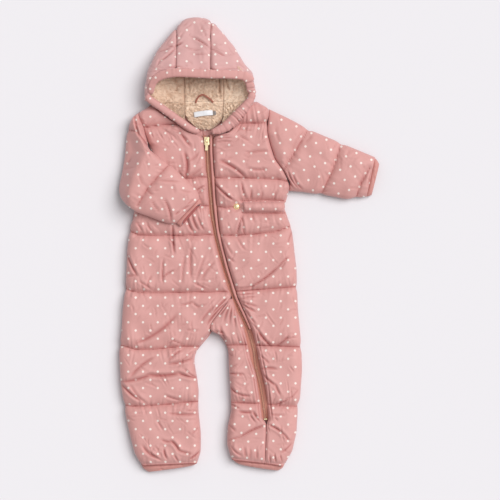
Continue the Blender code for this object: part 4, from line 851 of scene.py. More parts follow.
# Sleeves: flattened tubes of the quilted cloth, set into the armholes. The left one is stretched
# out and the right one is folded over the chest. Each row of a table is a section from shoulder to
# cuff: its two edges in plan, what is left of the armhole's curve, its height and how far it has
# climbed onto the body.
LEFT_ARMHOLE = [
    (35, 236.5), (31.2, 197.4), (37.4, 172.9), (45.4, 148.9), (57.6, 132.7), (71.4, 108.7), (70, 94),
]
LEFT_SLEEVE = [
    (35, 236.8, 70, 94, 1, 26, 0), (46, 231.5, 75, 93.8, 0.8, 27, 0), (62, 224, 84, 93, 0.55, 27, 0),
    (80, 215, 95, 92, 0.35, 27, 0), (100, 203.5, 108, 90, 0.15, 26, 0), (122, 194, 123, 88, 0, 27, 0),
    (146, 184, 138, 85.5, 0, 27, 0), (168, 174.5, 154, 82.5, 0, 27, 0), (190, 165.5, 170, 79.6, 0, 27, 0),
    (208, 158, 188, 81, 0, 26, 0), (220, 153, 205, 84, 0, 20, 0),
]
LEFT_SLEEVE_SEAMS = [
    LEFT_ARMHOLE, [(104, 203), (84, 168), (62, 132)], [(161, 178), (146, 130), (126, 88)], [(210, 133),
    (196, 108), (186, 80)],
]
LEFT_SLEEVE_CREASES = [
    (60, 131, 76, 101, 2.2, 3.4, 2), (68, 127, 86, 99, 2.2, 3.2, 2.5), (76, 122, 93, 97, 2.2, 2.8, 2.5),
    (96, 198, 76, 166, 2.4, 1.8, 2), (46, 205, 52, 180, 3, 1.2, 1), (110, 190, 98, 178, 2.4, 1.4, 0),
    (152, 176, 146, 166, 2.2, 1.2, 0), (176, 166, 168, 152, 2.4, 1.2, 0), (120, 92, 138, 94, 2.4, 1.4, 0),
    (204, 122, 190, 96, 2.4, 1.8, 2), (216, 134, 208, 100, 2.4, 2, 1.5),
]
RIGHT_SLEEVE = [
    (-191, 232, -176, 180, 0, 22, 0), (-203.5, 222, -176.5, 172.5, 0, 22, 0.5),
    (-213, 199, -171.5, 164, 0, 21, 0.9), (-214.5, 178, -163, 157, 0, 22, 1),
    (-217, 152, -153, 149.5, 0, 23, 1), (-221.5, 126, -143.5, 143, 0, 23, 1),
    (-227.5, 98, -134, 136, 0, 23, 1), (-224, 82, -126, 129, 0, 23, 1), (-212, 68, -117.5, 120.5, 0, 23, 1),
    (-194.5, 56, -108.5, 112.5, 0, 23, 1), (-175, 49.5, -100, 104.5, 0, 22, 1),
    (-154, 41, -91, 96, 0, 21, 1), (-137, 36, -86.5, 86.5, 0, 19, 1), (-126.5, 37.5, -85.5, 80.5, 0, 14, 1),
]
RIGHT_SLEEVE_SEAMS = [
    [(-191, 232), (-176, 180)], [(-138.5, 139), (-157, 119), (-177, 95), (-193, 68)], [(-215, 201),
    (-196, 197)],
]
RIGHT_SLEEVE_CREASES = [
    (-199, 229, -190, 188, 2.4, 4.2, 2), (-190, 190, -177, 172, 2.4, 3.4, -1),
    (-204, 214, -188, 208, 2, 1.6, 0), (-146, 78, -135, 38, 2.6, 3.4, -3),
    (-182, 106, -167, 86, 2.2, 2.4, 1), (-190, 120, -183, 104, 2.4, 1.4, 0),
    (-160, 112, -120, 110, 2.6, 1.6, 1), (-132, 104, -128, 90, 2.4, 1.4, 0),
    (-118, 94, -100, 92, 2.6, 1.3, 1), (-168, 76, -156, 58, 2.4, 2, 1), (-205, 150, -212, 140, 3, 1.4, 0),
    (-218, 132, -200, 134, 3, 1.2, 0), (-116, 60, -104, 68, 2, 2.2, 0), (-106, 70, -96, 78, 2, 2, 0),
    (-128, 52, -120, 58, 2, 2.4, 0),
]
TUBE_STEP = 2.3
TUBE_HALF = 52
EDGE_SHARE = 0.35
SLIT_INSET = 6.0
SLIT_RISE = 0.15
SLIT_GAP = 1.2
OVER_BODY = 26.0
OFF_BODY = 3.0
DROP_START = 3.0
DROP_RUN = 30.0
SEAM_SHARE = 0.45
INSIDE_SHADE = 0.9


def finer(rows, step):
    """A table's rows with more between them, a step apart along the first edge, then softened."""
    table = np.array(rows)
    step_of = np.diff(table, axis=0)
    run = np.maximum(np.linalg.norm(step_of[:, :2], axis=1), np.linalg.norm(step_of[:, 2:4], axis=1))
    station = np.concatenate([[0.0], np.cumsum(run)])
    at = np.linspace(0.0, station[-1], int(station[-1] / step) + 2)
    fine = np.stack([np.interp(at, station, column) for column in table.T], axis=-1)
    return soften(fine, 8)


def flat_tube(name, rows, finish, seams=(), creases=(), armhole=None, dots=(0.0, (0.0, 0.0)),
              seed=1, folds_at=1.2, step=TUBE_STEP, mouth=0.0):
    """A closed tube of padded cloth lying flat, with a slit of a hollow through it.

    Each ring runs over the top from the first edge to the second and back underneath. Its height
    swells from the edges along a cubed curve; the quilting, folds and creases are laid on both
    sides by the plan, and the outline is drawn in where any seam but the first meets it. The
    upper half of the open end is drawn back by mouth.
    """
    table = finer(rows, step)
    edge_a, edge_b = table[:, 0:2], table[:, 2:4]
    curve, height, lift = (table[:, k:k + 1] for k in (4, 5, 6))
    share_top = 0.5 - 0.5 * np.cos(np.linspace(0.0, np.pi, TUBE_HALF))
    share = np.concatenate([share_top, share_top[-2:0:-1]])
    on_top = np.concatenate([np.ones(TUBE_HALF), -np.ones(TUBE_HALF - 2)])
    width = np.linalg.norm(edge_b - edge_a, axis=1)[:, None]
    notch = np.zeros((2, len(table), 1))
    for side, edge in enumerate((edge_a, edge_b)):
        for line in seams[1:]:
            away = to_line(edge[:, 0], edge[:, 1], line)[0]
            notch[side, :, 0] = np.maximum(notch[side, :, 0], SIDE_NOTCH * bell(away, TUBE_NOTCH_REACH))

    def plan_of(inset):
        low = (inset + notch[0]) / width
        high = 1.0 - (inset + notch[1]) / width
        s = between(low, high, share)
        plan = between(edge_a[:, None], edge_b[:, None], s[..., None])
        if armhole is not None:
            line = np.array(armhole)
            along = np.linspace(0.0, 1.0, len(line))
            chord = between(line[0], line[-1], along[:, None])
            for axis in (0, 1):
                bend = np.interp(s.ravel(), along, (line - chord)[:, axis]).reshape(s.shape)
                plan[..., axis] += curve * bend
        return plan

    def floor_of(plan):
        past = plan[..., 0] - (across(RIGHT_SIDE, plan[..., 1]) - DROP_START - DROP_RUN)
        t = np.clip(past / DROP_RUN, 0.0, 1.0)
        return lift * (OFF_BODY + (OVER_BODY - OFF_BODY) * t * t * (3.0 - 2.0 * t))

    swell = np.sqrt(1.0 - np.abs(2.0 * share - 1.0) ** 3)
    plan = plan_of(0.0)
    x, y = plan[..., 0], plan[..., 1]
    quilt, folds, groove_shade = quilting(x, y, seams, pucker=folds_at, seed=seed)
    trough, shade = creased(x, y, creases)
    full = height * (SEAM_SHARE + (1.0 - SEAM_SHARE) * quilt) if len(seams) else height + 0.0 * quilt
    count = int(np.sum(width) * TUBE_STEP / STRAY_AREA)
    stray, stray_shade = creased(x, y, stray_creases(x, y, count, seed + 5))
    shade = np.maximum(shade, 0.6 * stray_shade)
    ground = TUBE_RUMPLE[0] * rumple(x, y, TUBE_RUMPLE[1], seed)
    uneven = (folds + trough + (stray + ground) * quilt) * swell
    floor_z = floor_of(plan)
    middle = floor_z + EDGE_SHARE * height
    axis = (edge_a + edge_b)[-1] - (edge_a + edge_b)[0]
    drawn = mouth * np.linspace(0.0, 1.0, len(table))[:, None] ** 3 * swell * (on_top > 0)
    drawn = drawn[..., None] * unit(axis)
    up = middle + (1.0 - EDGE_SHARE) * full * swell + uneven
    down = np.maximum(middle - EDGE_SHARE * full * swell + 0.3 * np.minimum(uneven, 0.0), floor_z)
    outer = np.concatenate([plan - drawn, np.where(on_top > 0, up, down)[..., None]], axis=-1)
    hollow = plan_of(SLIT_INSET)
    slit = floor_of(hollow) + EDGE_SHARE * height + (SLIT_RISE * height + SLIT_GAP * on_top) * swell
    inner = np.concatenate([hollow - drawn, slit[..., None]], axis=-1)
    # Painted shade in the seam grooves and creases, weaker near the edges, and painted shade all over the
    # inside of the hollow.
    shade = np.maximum(0.75 * groove_shade, 0.8 * shade) * np.where(swell > 0.3, 1.0, 0.4)
    shade = np.concatenate([shade.ravel(), np.full(shade.size, INSIDE_SHADE)])
    piece = walled(name + "_cloth", outer, inner, finish, turned_plan(x, y, *dots), shade, ring=True)
    wadded(name)
    return outer


flat_tube("sleeve_left", LEFT_SLEEVE, DOTTED_SHELL, LEFT_SLEEVE_SEAMS, LEFT_SLEEVE_CREASES,
          armhole=LEFT_ARMHOLE, dots=(66.0, (114.0, 136.0)), seed=61)
flat_tube("sleeve_right", RIGHT_SLEEVE, DOTTED_SHELL, RIGHT_SLEEVE_SEAMS, RIGHT_SLEEVE_CREASES,
          dots=(45.0, (-152.0, 100.0)), seed=67)


# Cuff and hem bindings: narrow bands of the plain cloth folded round each end and gathered by the
# elastic inside them. Rows as for the sleeves.
LEFT_CUFF = [
    (218.6, 152.6, 203.8, 84.1, 0, 19, 0), (223.5, 148.6, 208.5, 84.6, 0, 20, 0),
    (227.5, 141, 214, 86.5, 0, 15, 0),
]
RIGHT_CUFF = [
    (-127, 38.2, -86.6, 81.2, 0, 14, 1), (-121.5, 34, -83, 75.5, 0, 14.5, 1),
    (-118.6, 31.2, -82.2, 71.5, 0, 12, 1),
]
RIGHT_HEM = [
    (-190.2, -379.4, -88.8, -375.4, 0, 16, 0), (-185, -391, -91.5, -382.5, 0, 17.5, 0),
    (-176, -396.7, -98.5, -386, 0, 13, 0),
]
LEFT_HEM = [
    (-31.4, -370.2, 62.9, -380.4, 0, 16, 0), (-25, -379.5, 59.5, -389.5, 0, 17.5, 0),
    (-15, -384.5, 51, -394.5, 0, 13, 0),
]
for index, (name, rows) in enumerate((("cuff_binding_left", LEFT_CUFF), ("cuff_binding_right", RIGHT_CUFF),
                                      ("hem_binding_right", RIGHT_HEM), ("hem_binding_left", LEFT_HEM))):
    stitched = [(rows[0][0], rows[0][1]), (rows[0][2], rows[0][3])]
    flat_tube(name, rows, PLAIN_SHELL, [stitched], seed=71 + index, folds_at=1.0, step=1.4,
              mouth=4.5 if rows is RIGHT_CUFF else 0.0)


# Hood: two side panels and a centre strip that runs from the brow over the crown and down the back,
# all wadded shell cloth, lying open with the brow standing up. Each row of a side panel is y, x and
# z of its front edge, and x of the outline.
HOOD_RIGHT = [
    (374, -125.9, 20, -129.5), (360, -125.9, 26.9, -143.5), (346, -125.9, 31.6, -155),
    (330, -125.9, 38, -163.5), (316, -125.9, 44.4, -169.5), (305, -125.9, 49.5, -173.7),
    (302.5, -141, 47, -174.5), (299.5, -153.5, 46, -175.5), (294, -162.5, 44, -176.7),
    (287, -169, 42, -178), (276, -171.5, 38, -180.7), (262, -172, 35, -182.6), (250.5, -170, 33, -181.5),
]
HOOD_LEFT = [
    (386, -66.6, 20, -61), (364, -66.7, 28.4, -40.5), (352, -66.7, 31.9, -31.5), (340, -66.7, 35.7, -24),
    (318, -66.7, 43.5, -9.5), (303, -66.7, 49.2, 2), (302, -48, 48.5, 3.5), (300.5, -25, 46, 4.5),
    (298, -6, 43.5, 6), (294, 2, 42, 7.5), (283, 3, 40, 9.7), (270, 3.5, 37, 11.6), (258, 1.5, 34, 10.5),
    (250.5, -2, 33, 7.5),
]
HOOD_CREASES = [
    (-142, 345, -128, 342, 2, 2.6, 0), (-129, 344, -116, 351, 2, 3.4, 0),
    (-128, 341, -156, 318, 2.2, 3, -2), (-138, 340, -160, 333, 2.2, 1.8, 1),
    (-154, 322, -158, 310, 2.2, 1.6, 0), (-118, 346, -84, 338, 2.2, 1.6, 2),
    (-98, 361, -70, 342, 1.9, 3.2, -1.5), (-104, 332, -72, 330, 2.4, 1.4, 1), (-66, 341, -42, 328, 2, 3, 1),
    (-60, 352, -58, 338, 2.4, 1, 0), (-144, 306, -116, 308, 2, 2, 0), (-50, 304, -16, 306, 2, 1.2, 0),
    (-150, 300, -166, 288, 2.2, 1.6, 1), (-20, 318, -8, 306, 2.2, 1.4, 0),
]
HOOD_WALL = 9.0
HOOD_STEP = 1.9
HOOD_STRAYS = 34
SIDE_SEAM_GAP = 0.05
SIDE_FOOT, SIDE_FOOT_SHARE, SIDE_FOOT_INSET, SIDE_FOOT_TO_BACK = 14.0, 0.7, 0.3, 0.4
SIDE_MIDDLE, SIDE_SWELL, SIDE_STEPS, SIDE_BACK_STEPS = 0.45, 0.8, 26, 16
HOOD_TOP, HOOD_BEND, HOOD_INNER_BEND = 396.9, 13.0, 4.0
BROW_Y = (304.5, 301.0)
BROW_HEIGHT = 50.0
CENTRE_FRONT, CENTRE_BACK_X, CENTRE_SPREAD = (-125.8, -66.8), (-114.7, -41.8), 50.0
CENTRE_TOP_DROP, CENTRE_TOP_CURVE, CROWN_CURVE = (21.0, 9.0), 6, 1.2
CENTRE_COLUMNS, CENTRE_ROWS, BEND_ROWS = 27, 42, 17


def back_seam(y, side):
    """The x of the centre strip's seam on the back; side 0 is the wearer's right."""
    t = np.clip((HOOD_TOP - HOOD_BEND - y) / CENTRE_SPREAD, 0.0, 1.0)
    return CENTRE_FRONT[side] + (CENTRE_BACK_X[side] - CENTRE_FRONT[side]) * t * t * (3.0 - 2.0 * t)


def hood_section(rows, inset, floor_z, start=0.0, past_seam=-SIDE_SEAM_GAP, steps=SIDE_STEPS):
    """Sections of a side panel from its front edge over the outline and under to the back seam.

    Two quarters of a flattened circle, down to the side and down to the surface, then a flat run.
    """
    y, x_front, z_front, x_side = (rows[:, k:k + 1] for k in range(4))
    inward = np.sign(x_front - x_side)
    x_back = back_seam(y, 0 if inward[0, 0] > 0 else 1) + inward * past_seam
    side = x_side + inward * inset * np.minimum(1.0, np.abs(x_front - x_side) / (2.0 * HOOD_WALL))
    reach = np.minimum(SIDE_FOOT, SIDE_FOOT_SHARE * np.abs(x_back - x_side)) + SIDE_FOOT_INSET * inset
    foot = inward * np.minimum(inward * x_side + reach, inward * x_back - SIDE_FOOT_TO_BACK)
    middle = SIDE_MIDDLE * z_front
    top = np.linspace(start, 1.0, steps) * np.pi / 2
    low = np.linspace(0.0, 1.0, steps)[1:] * np.pi / 2
    run = np.linspace(0.0, 1.0, SIDE_BACK_STEPS)[1:]
    x = np.concatenate([between(x_front, side, np.sin(top) ** SIDE_SWELL),
                        between(foot, side, np.cos(low).clip(0.0) ** SIDE_SWELL),
                        between(foot, x_back, run)], axis=1)
    z = np.concatenate([between(middle, z_front - inset, np.cos(top).clip(0.0) ** SIDE_SWELL),
                        between(floor_z, middle, 1.0 - np.sin(low) ** SIDE_SWELL),
                        floor_z + 0.0 * y + 0.0 * run], axis=1)
    return grid_of(x, y, z)


def outward(outer, inner):
    """Unit normals of a grid of points, on the side away from the inner grid."""
    normal = np.cross(np.gradient(outer, axis=0), np.gradient(outer, axis=1))
    normal /= np.maximum(np.linalg.norm(normal, axis=-1, keepdims=True), 1e-9)
    middle = np.sum(normal * (outer - inner))
    return normal * np.sign(middle)


def hood_piece(name, outer, inner, uv, seed, edges):
    """A wadded hood panel: its outer grid moved out by folds and creases, and in along its seams."""
    x, y = outer[..., 0], outer[..., 1]
    strays = stray_creases(x, y, HOOD_STRAYS, seed + 9)
    trough, shade = creased(x, y, np.concatenate([HOOD_CREASES, strays]))
    normal = outward(outer, inner)
    facing = np.clip(normal[..., 2:], 0.0, 1.0)
    along, over = run_over(outer, 0), run_over(outer, 1)
    gaps = {"first_row": along, "last_row": along[-1:] - along,
            "first_column": over, "last_column": over[:, -1:] - over}
    sink, puckers, groove_shade = np.zeros((3, *x.shape))
    for index, edge in enumerate(edges):
        gap = gaps[edge]
        sink = np.maximum(sink, 0.6 * bell(gap, 1.8))
        run = over if edge.endswith("row") else along
        puckers += 1.2 * (gap / 6.0) * np.exp(1.0 - gap / 6.0) * ripple(run, seed + index)
        groove_shade = np.maximum(groove_shade, bell(gap, 0.8))
    free = np.clip(outer[..., 2] / 6.0, 0.0, 1.0) * np.minimum(1.0, gaps["first_row"] / 3.0 + 0.3)
    ground = HOOD_RUMPLE[0] * rumple(x, y + outer[..., 2], HOOD_RUMPLE[1], seed)
    push = trough[..., None] * facing + (puckers + ground - sink)[..., None]
    outer = outer + normal * push * free[..., None]
    outer[..., 2] = np.maximum(outer[..., 2], 0.0)
    # Painted shade in the creases on faces turned up, and along the seams.
    shade = np.maximum(0.85 * shade * facing[..., 0], 0.25 * groove_shade * (free > 0.3))
    piece = walled(name + "_cloth", outer, inner, SHEEN_HOOD_SHELL, uv, shade)
    wadded(name)
    return outer


def hood_side(name, rows, turn, seed):
    """A side panel of the hood, its cloth laid flat by the distance run over it from the seam."""
    fine = finer(rows, HOOD_STEP)
    outer = hood_section(fine, 0.0, 0.0)
    inner = hood_section(fine, HOOD_WALL, HOOD_WALL)
    away = np.sign(outer[0, -1, 0] - outer[0, 0, 0])
    flat_x = outer[:, :1, 0] - away * run_over(outer, 1)
    uv = turned_plan(flat_x, outer[..., 1] * 1.08, turn, (-95.0, 330.0))
    return hood_piece(name, outer, inner, uv, seed, ("first_column",))


def hood_centre():
    """The centre strip: up from the brow, round a bend at the top and back along the surface."""
    share = np.linspace(0.0, 1.0, CENTRE_COLUMNS)
    top_y = (HOOD_TOP - CENTRE_TOP_DROP[0] * (1.0 - share) ** CENTRE_TOP_CURVE
             - CENTRE_TOP_DROP[1] * share ** CENTRE_TOP_CURVE)
    brow_y = between(*BROW_Y, share)
    bend_y = top_y - HOOD_BEND

    def strip(radius, drop):
        crown = np.linspace(0.0, 1.0, CENTRE_ROWS)[:, None]
        y_up = between(brow_y, bend_y, crown)
        z_bend = HOOD_BEND + radius
        z_up = between(z_bend, BROW_HEIGHT - drop, (1.0 - crown) ** CROWN_CURVE) + 0.0 * y_up
        turn = np.linspace(0.0, np.pi, BEND_ROWS)[1:-1, None]
        y_turn = bend_y + radius * np.sin(turn)
        z_turn = HOOD_BEND + radius * np.cos(turn) + 0.0 * y_turn
        y_back = bend_y + (CENTRE_BACK[0][0] + 1.0 - bend_y) * crown
        y = np.concatenate([y_up, y_turn, y_back])
        on_back = np.arange(len(y))[:, None] > len(y_up) + len(y_turn) // 2
        low_x = np.where(on_back, back_seam(y, 0), CENTRE_FRONT[0])
        high_x = np.where(on_back, back_seam(y, 1), CENTRE_FRONT[1])
        z = np.concatenate([z_up, z_turn, np.full_like(y_back, HOOD_BEND - radius)])
        return grid_of(between(low_x, high_x, share), y, z)

    outer = strip(HOOD_BEND, 0.0)
    inner = strip(HOOD_INNER_BEND, HOOD_WALL)
    uv = np.stack([outer[..., 0] + 95.0, run_over(outer, 0) * 0.98], axis=-1)
    return hood_piece("hood_centre", outer, inner, uv, 85, ("first_column", "last_column"))


hood_side("hood_right", HOOD_RIGHT, 14.0, 81)
hood_side("hood_left", HOOD_LEFT, -38.0, 83)
hood_centre()


# Strips along the hood's edge: padded strips of the shell, turned over an elastic that gathers
# them. The brow band runs over the brow and the other two from the neck up the face opening. Each
# row is x, y and z of the middle line, half width and half height.
BROW_BAND = [
    (-170.5, 262, 33.5, 4.6, 4.8), (-169, 272, 37.5, 5.4, 5), (-166, 281.5, 40.5, 6.2, 5.2),
    (-160, 288.6, 43.6, 7, 5.6), (-150, 293.4, 46, 7.4, 6), (-138.5, 296, 48.6, 7.4, 6),
    (-126, 297.4, 50.6, 7.4, 6), (-103, 296.6, 51.8, 7.4, 6), (-84, 295.4, 51.8, 7.4, 6),
    (-66, 294.6, 51.6, 7.4, 6), (-44, 294.8, 50.2, 7.4, 6), (-25, 294, 47.8, 7.4, 6),
    (-9, 292.4, 45, 7.2, 5.8), (-1, 286, 42.4, 6.8, 5.8), (1.4, 276, 39, 6.2, 5.4), (2, 264, 34.5, 5.4, 5),
]
RIGHT_EDGE = [
    (-177.5, 260, 31.5, 5, 6), (-172.5, 252.6, 31.5, 6, 6.5), (-163.5, 246, 31, 6.4, 6.5),
    (-152, 238.2, 30.5, 6.4, 6.5), (-134, 225.4, 29, 6.3, 6.5), (-116, 212.2, 27.5, 6.3, 6.5),
    (-100, 201, 26.5, 6, 6.5), (-86, 196.6, 25.5, 4.4, 5.5),
]
LEFT_EDGE = [
    (6, 272, 32.5, 4.8, 5.6), (5.4, 262, 32, 5.8, 6.4), (2.5, 251.5, 31.5, 6.6, 6.8),
    (-6, 241, 31, 7.2, 6.8), (-18, 228, 30, 8, 7), (-30, 214.2, 29, 8.8, 7), (-42, 204.2, 28, 8.4, 7),
    (-54, 198.8, 27, 6.4, 6.5), (-64.5, 196.6, 25.5, 4.4, 5.5),
]
STRIP_STEP = 1.1
MORE_OVER = 20.0
STRIP_SIDES = 30


def ring_strip(rows, sides, flatness, step):
    """Rings of an oval section along a softened line: points, unit directions out, and the run."""
    fine = finer(rows, step)
    line = fine[:, :3]
    tangent = np.gradient(line, axis=0)
    side = unit(np.cross(tangent, (0.0, 0.0, 1.0)))
    up = unit(np.cross(side, tangent))
    turn = np.arange(sides) * 2.0 * np.pi / sides
    wide, high = (np.sign(wave) * np.abs(wave) ** flatness for wave in (np.cos(turn), np.sin(turn)))
    away = side[:, None] * (fine[:, 3:4] * wide)[..., None] + up[:, None] * (fine[:, 4:5] * high)[..., None]
    return line, away, run_over(line, 0), turn


def closed_rod(count, sides):
    """Faces of a rod of rings, with a fan to one more point at each end, the last two points."""
    grid = np.arange(count * sides).reshape(count, sides)
    grid = np.concatenate([grid, grid[:, :1]], axis=1)
    tips = []
    for line, tip in ((grid[0], count * sides), (grid[-1], count * sides + 1)):
        tips += [(int(a), int(b), tip) for a, b in zip(line[:-1], line[1:])]
    return quads(grid).tolist() + tips


def rod(name, line, rings, finish, uv=None, crease_shade=None):
    """A piece of rings along a line, closed with a point at each end."""
    points = np.concatenate([rings.reshape(-1, 3), line[:1], line[-1:]])
    if crease_shade is not None:
        crease_shade = np.concatenate([crease_shade.ravel(), [0.0, 0.0]])
    return sewn(name, points, closed_rod(*rings.shape[:2]), finish, uv, crease_shade)


def edge_strip(name, rows, gathers, seed, turn, seam_side, flatness=0.8):
    """A gathered strip: folds run across it and are deepest on the side that is sewn down.

    Gathers are how deep the folds are, how much deeper they get, and from where along the strip.
    """
    line, away, run, angle = ring_strip(rows, STRIP_SIDES, flatness, STRIP_STEP)
    near_seam = 0.5 + 0.5 * seam_side * np.cos(angle)
    depth, more, start = gathers
    depth = depth + more * np.clip((run[:, None] - start) / MORE_OVER, 0.0, 1.0)
    folds = depth * ripple(run[:, None] * 1.25 + 0.8 * np.sin(angle), seed)
    scale = 1.0 + folds * (0.25 + 0.75 * near_seam)
    ends = np.minimum(1.0, np.minimum(run, run[-1] - run) / 5.0)
    scale = scale * (0.45 + 0.55 * np.sqrt(ends))[:, None]
    rings = line[:, None] + away * scale[..., None]
    flat = turned_plan(run[:, None] * 1.2, run_over(rings, 1) + 4.0, turn, (0.0, 0.0)).reshape(-1, 2)
    flat = np.concatenate([flat, flat[:1], flat[-1:]])
    # Painted shade in the fold valleys, most on the sewn-down side.
    shade = np.clip(-1.6 * folds, 0.0, 1.0) * near_seam
    piece = rod(name + "_cloth", line, rings, DOTTED_SHELL, flat, shade)
    wadded(name)


edge_strip("brow_band", BROW_BAND, (0.09, 0.26, 165.0), 91, 3.0, -1.0, 0.55)
edge_strip("hood_edge_right", RIGHT_EDGE, (0.12, 0.0, 0.0), 93, 8.0, 1.0)
edge_strip("hood_edge_left", LEFT_EDGE, (0.36, 0.0, 0.0), 95, 20.0, -1.0)


# Lining: cream sherpa fleece, curly and matt, sewn inside the hood and down the neck to the edge
# strips, its parts joined by plain seams.
FLEECE = (0.900, 0.680, 0.510, 1.0)
FLEECE_LIGHT = (1.0, 0.80, 0.63, 1.0)
FLEECE_SHADE = (0.430, 0.205, 0.115, 1.0)
LINING_BASE = 9.4
LINING_WALL = 5.5
LINING_SEAM = 2.5
LINING_STEP = 1.5
SIDE_LINING_GAP, SIDE_LINING_START, SIDE_LINING_TOP = 2.2, 0.72, 346.0
SLOPE_REACH = 46.0
RIM_GAP = 6.5
FLAP_RIM = 31.0
LUMP_SIZE, LUMP_HEIGHT = 4.2, 0.9
CURL_SIZE, CURL_WIRE = 1.15, 0.30
CURL_STEPS = 7
FLEECE_CURLS, FLEECE_PATCHES, FLEECE_BUMP = (420.0, 5.0, 1.6), (120.0, 3.0), (0.7, 0.0008)
NECK_LINING_ROWS = [
    (249.8, -111.9, -44.6), (236, -111.9, -44.6), (224, -111, -44.8), (214, -104, -50), (206, -94, -58),
    (201, -84, -68),
]
CENTRE_LINING_Y = (358.0, 250.0)
RIGHT_FLAP_ROWS = [
    (249.9, -163, -112.1), (243, -152, -112.1), (232, -138, -112.1), (222, -124, -112.1),
    (215.5, -115.5, -112.9),
]
LEFT_FLAP_ROWS = [
    (249.9, -4, -44.4), (243, -10, -44.4), (232, -18, -44.4), (222, -29, -44.4), (214, -41, -48),
]
LINING_FOLDS = [
    (-52, 292, -51, 262, 2.6, 4, 0), (-40, 296, -34, 268, 3, 3.2, 1.5), (-24, 288, -30, 262, 3.2, 1.8, 0),
    (-104, 296, -106, 272, 2.6, 1.8, 0), (-128, 292, -124, 264, 3, 1.6, 1),
    (-146, 276, -132, 252, 3.4, 1.4, 2),
]


def fleece_finish():
    """Sherpa: cream, its hollows between the curls darkened as painted shade over its own patchy tone,
    rough, soft at the rim.
    """
    finish, tree, shader = new_finish(
        "sherpa_fleece", Roughness=0.95, Specular_IOR_Level=0.1, Sheen_Weight=0.5,
        Sheen_Roughness=0.6, Sheen_Tint=(1.0, 0.92, 0.82, 1.0))
    place = tree.nodes.new("ShaderNodeTexCoord").outputs["Object"]
    curls = noise_node(tree, place, *FLEECE_CURLS)
    patches = noise_node(tree, place, *FLEECE_PATCHES)
    # The curl noise paints shade into the hollows between the curls; the large patches are the fleece's own
    # uneven tone.
    blend = math_node(tree, "ADD", math_node(tree, "MULTIPLY_ADD", curls, 2.6, -1.0),
                      math_node(tree, "MULTIPLY_ADD", patches, 1.4, -0.45))
    clipped = math_node(tree, "MINIMUM", math_node(tree, "MAXIMUM", blend, 0.0), 1.0)
    dark = tuple(0.85 * a + 0.15 * b for a, b in zip(FLEECE, FLEECE_SHADE))
    colour = mix_colour(tree, clipped, dark, FLEECE_LIGHT)
    # Painted shade from each piece: seams, folds, low lumps and its overall tone.
    colour = mix_colour(tree, shade_in_creases(tree), colour, FLEECE_SHADE)
    tree.links.new(colour, shader.inputs["Base Color"])
    bumped(tree, shader, curls, *FLEECE_BUMP)
    return finish


SHERPA = fleece_finish()


def curls_on(outer, normal, count, seed):
    """Points and faces of small open curls stood on a grid.

    Each is a three-sided wire round two thirds of a circle, turned at random about the normal.
    """
    dice = np.random.default_rng(seed)
    rows, columns = outer.shape[:2]
    at = (dice.uniform(2, rows - 3, count), dice.uniform(1, columns - 2, count))
    i, j = at[0].astype(int), at[1].astype(int)
    middle = outer[i, j] + (outer[i + 1, j] - outer[i, j]) * (at[0] - i)[:, None]
    middle = middle + (outer[i, j + 1] - outer[i, j]) * (at[1] - j)[:, None]
    up = normal[i, j]
    side = unit(np.cross(up, dice.normal(size=(count, 3))))
    size = CURL_SIZE * dice.uniform(0.7, 1.25, count)[:, None, None]
    angle = np.linspace(-0.5, 3.9, CURL_STEPS)[:, None]
    lean = dice.normal(scale=0.45, size=(count, 1, 3))
    centre = (side[:, None] * np.cos(angle) + up[:, None] * np.sin(angle) + lean * np.sin(angle / 2)) * size
    centre = centre + middle[:, None]
    across_wire = np.cross(side, up)
    ring = np.arange(3) * 2.0 * np.pi / 3
    radial = side[:, None] * np.cos(angle) + up[:, None] * np.sin(angle)
    wire = CURL_WIRE * (1.0 - 0.35 * np.linspace(0.0, 1.0, CURL_STEPS))[:, None, None]
    points = (centre[:, :, None] + wire * (radial[:, :, None] * np.cos(ring)[:, None]
                                           + across_wire[:, None, None] * np.sin(ring)[:, None]))
    k = np.arange(CURL_STEPS - 1)[:, None] * 3
    m = np.arange(3)
    n = (m + 1) % 3
    wire_faces = np.stack([k + m, k + n, k + 3 + n, k + 3 + m], axis=-1).reshape(-1, 4)
    return points.reshape(-1, 3), copies(wire_faces, count, 3 * CURL_STEPS)


def lining(name, outer, inner, curls, tone, seed):
    """A fleece piece: its upper grid lumpy and folded, sunk along its side seams, with curls on it.

    The tone is a painted shade laid all over the piece and its curls, as a share of the shade colour.
    """
    normal = outward(inner, outer)
    x, y = inner[..., 0], inner[..., 1] + 0.6 * inner[..., 2]
    folds, shade = creased(inner[..., 0], inner[..., 1], LINING_FOLDS)
    columns = inner.shape[1]
    gap = np.minimum(np.arange(columns), columns - 1 - np.arange(columns)) * LINING_STEP
    sink = bell(gap, 1.8)
    lumps = rumple(x, y, LUMP_SIZE, seed) + 0.6 * rumple(x, y, 2.2 * LUMP_SIZE, seed + 1)
    inner = inner + normal * (LUMP_HEIGHT * lumps + 0.8 * folds - 1.0 * sink)[..., None]
    curl_points, curl_faces = curls_on(inner, normal, curls, seed + 2)
    grid = np.concatenate([inner.reshape(-1, 3), outer.reshape(-1, 3)])
    # Painted shade in the folds, along the sunk seams and in the low lumps.
    shade = np.maximum(0.8 * shade, 0.35 * sink)
    shade = np.maximum(shade, np.clip(-0.16 * lumps, 0.0, 0.3)) + tone
    faces = np.concatenate([wall_faces(*inner.shape[:2]), curl_faces + len(grid)])
    piece = sewn(name + "_cloth", np.concatenate([grid, curl_points]), faces, SHERPA,
                 crease_shade=np.concatenate([np.tile(shade.ravel(), 2), np.full(len(curl_points), tone)]))
    wadded(name)


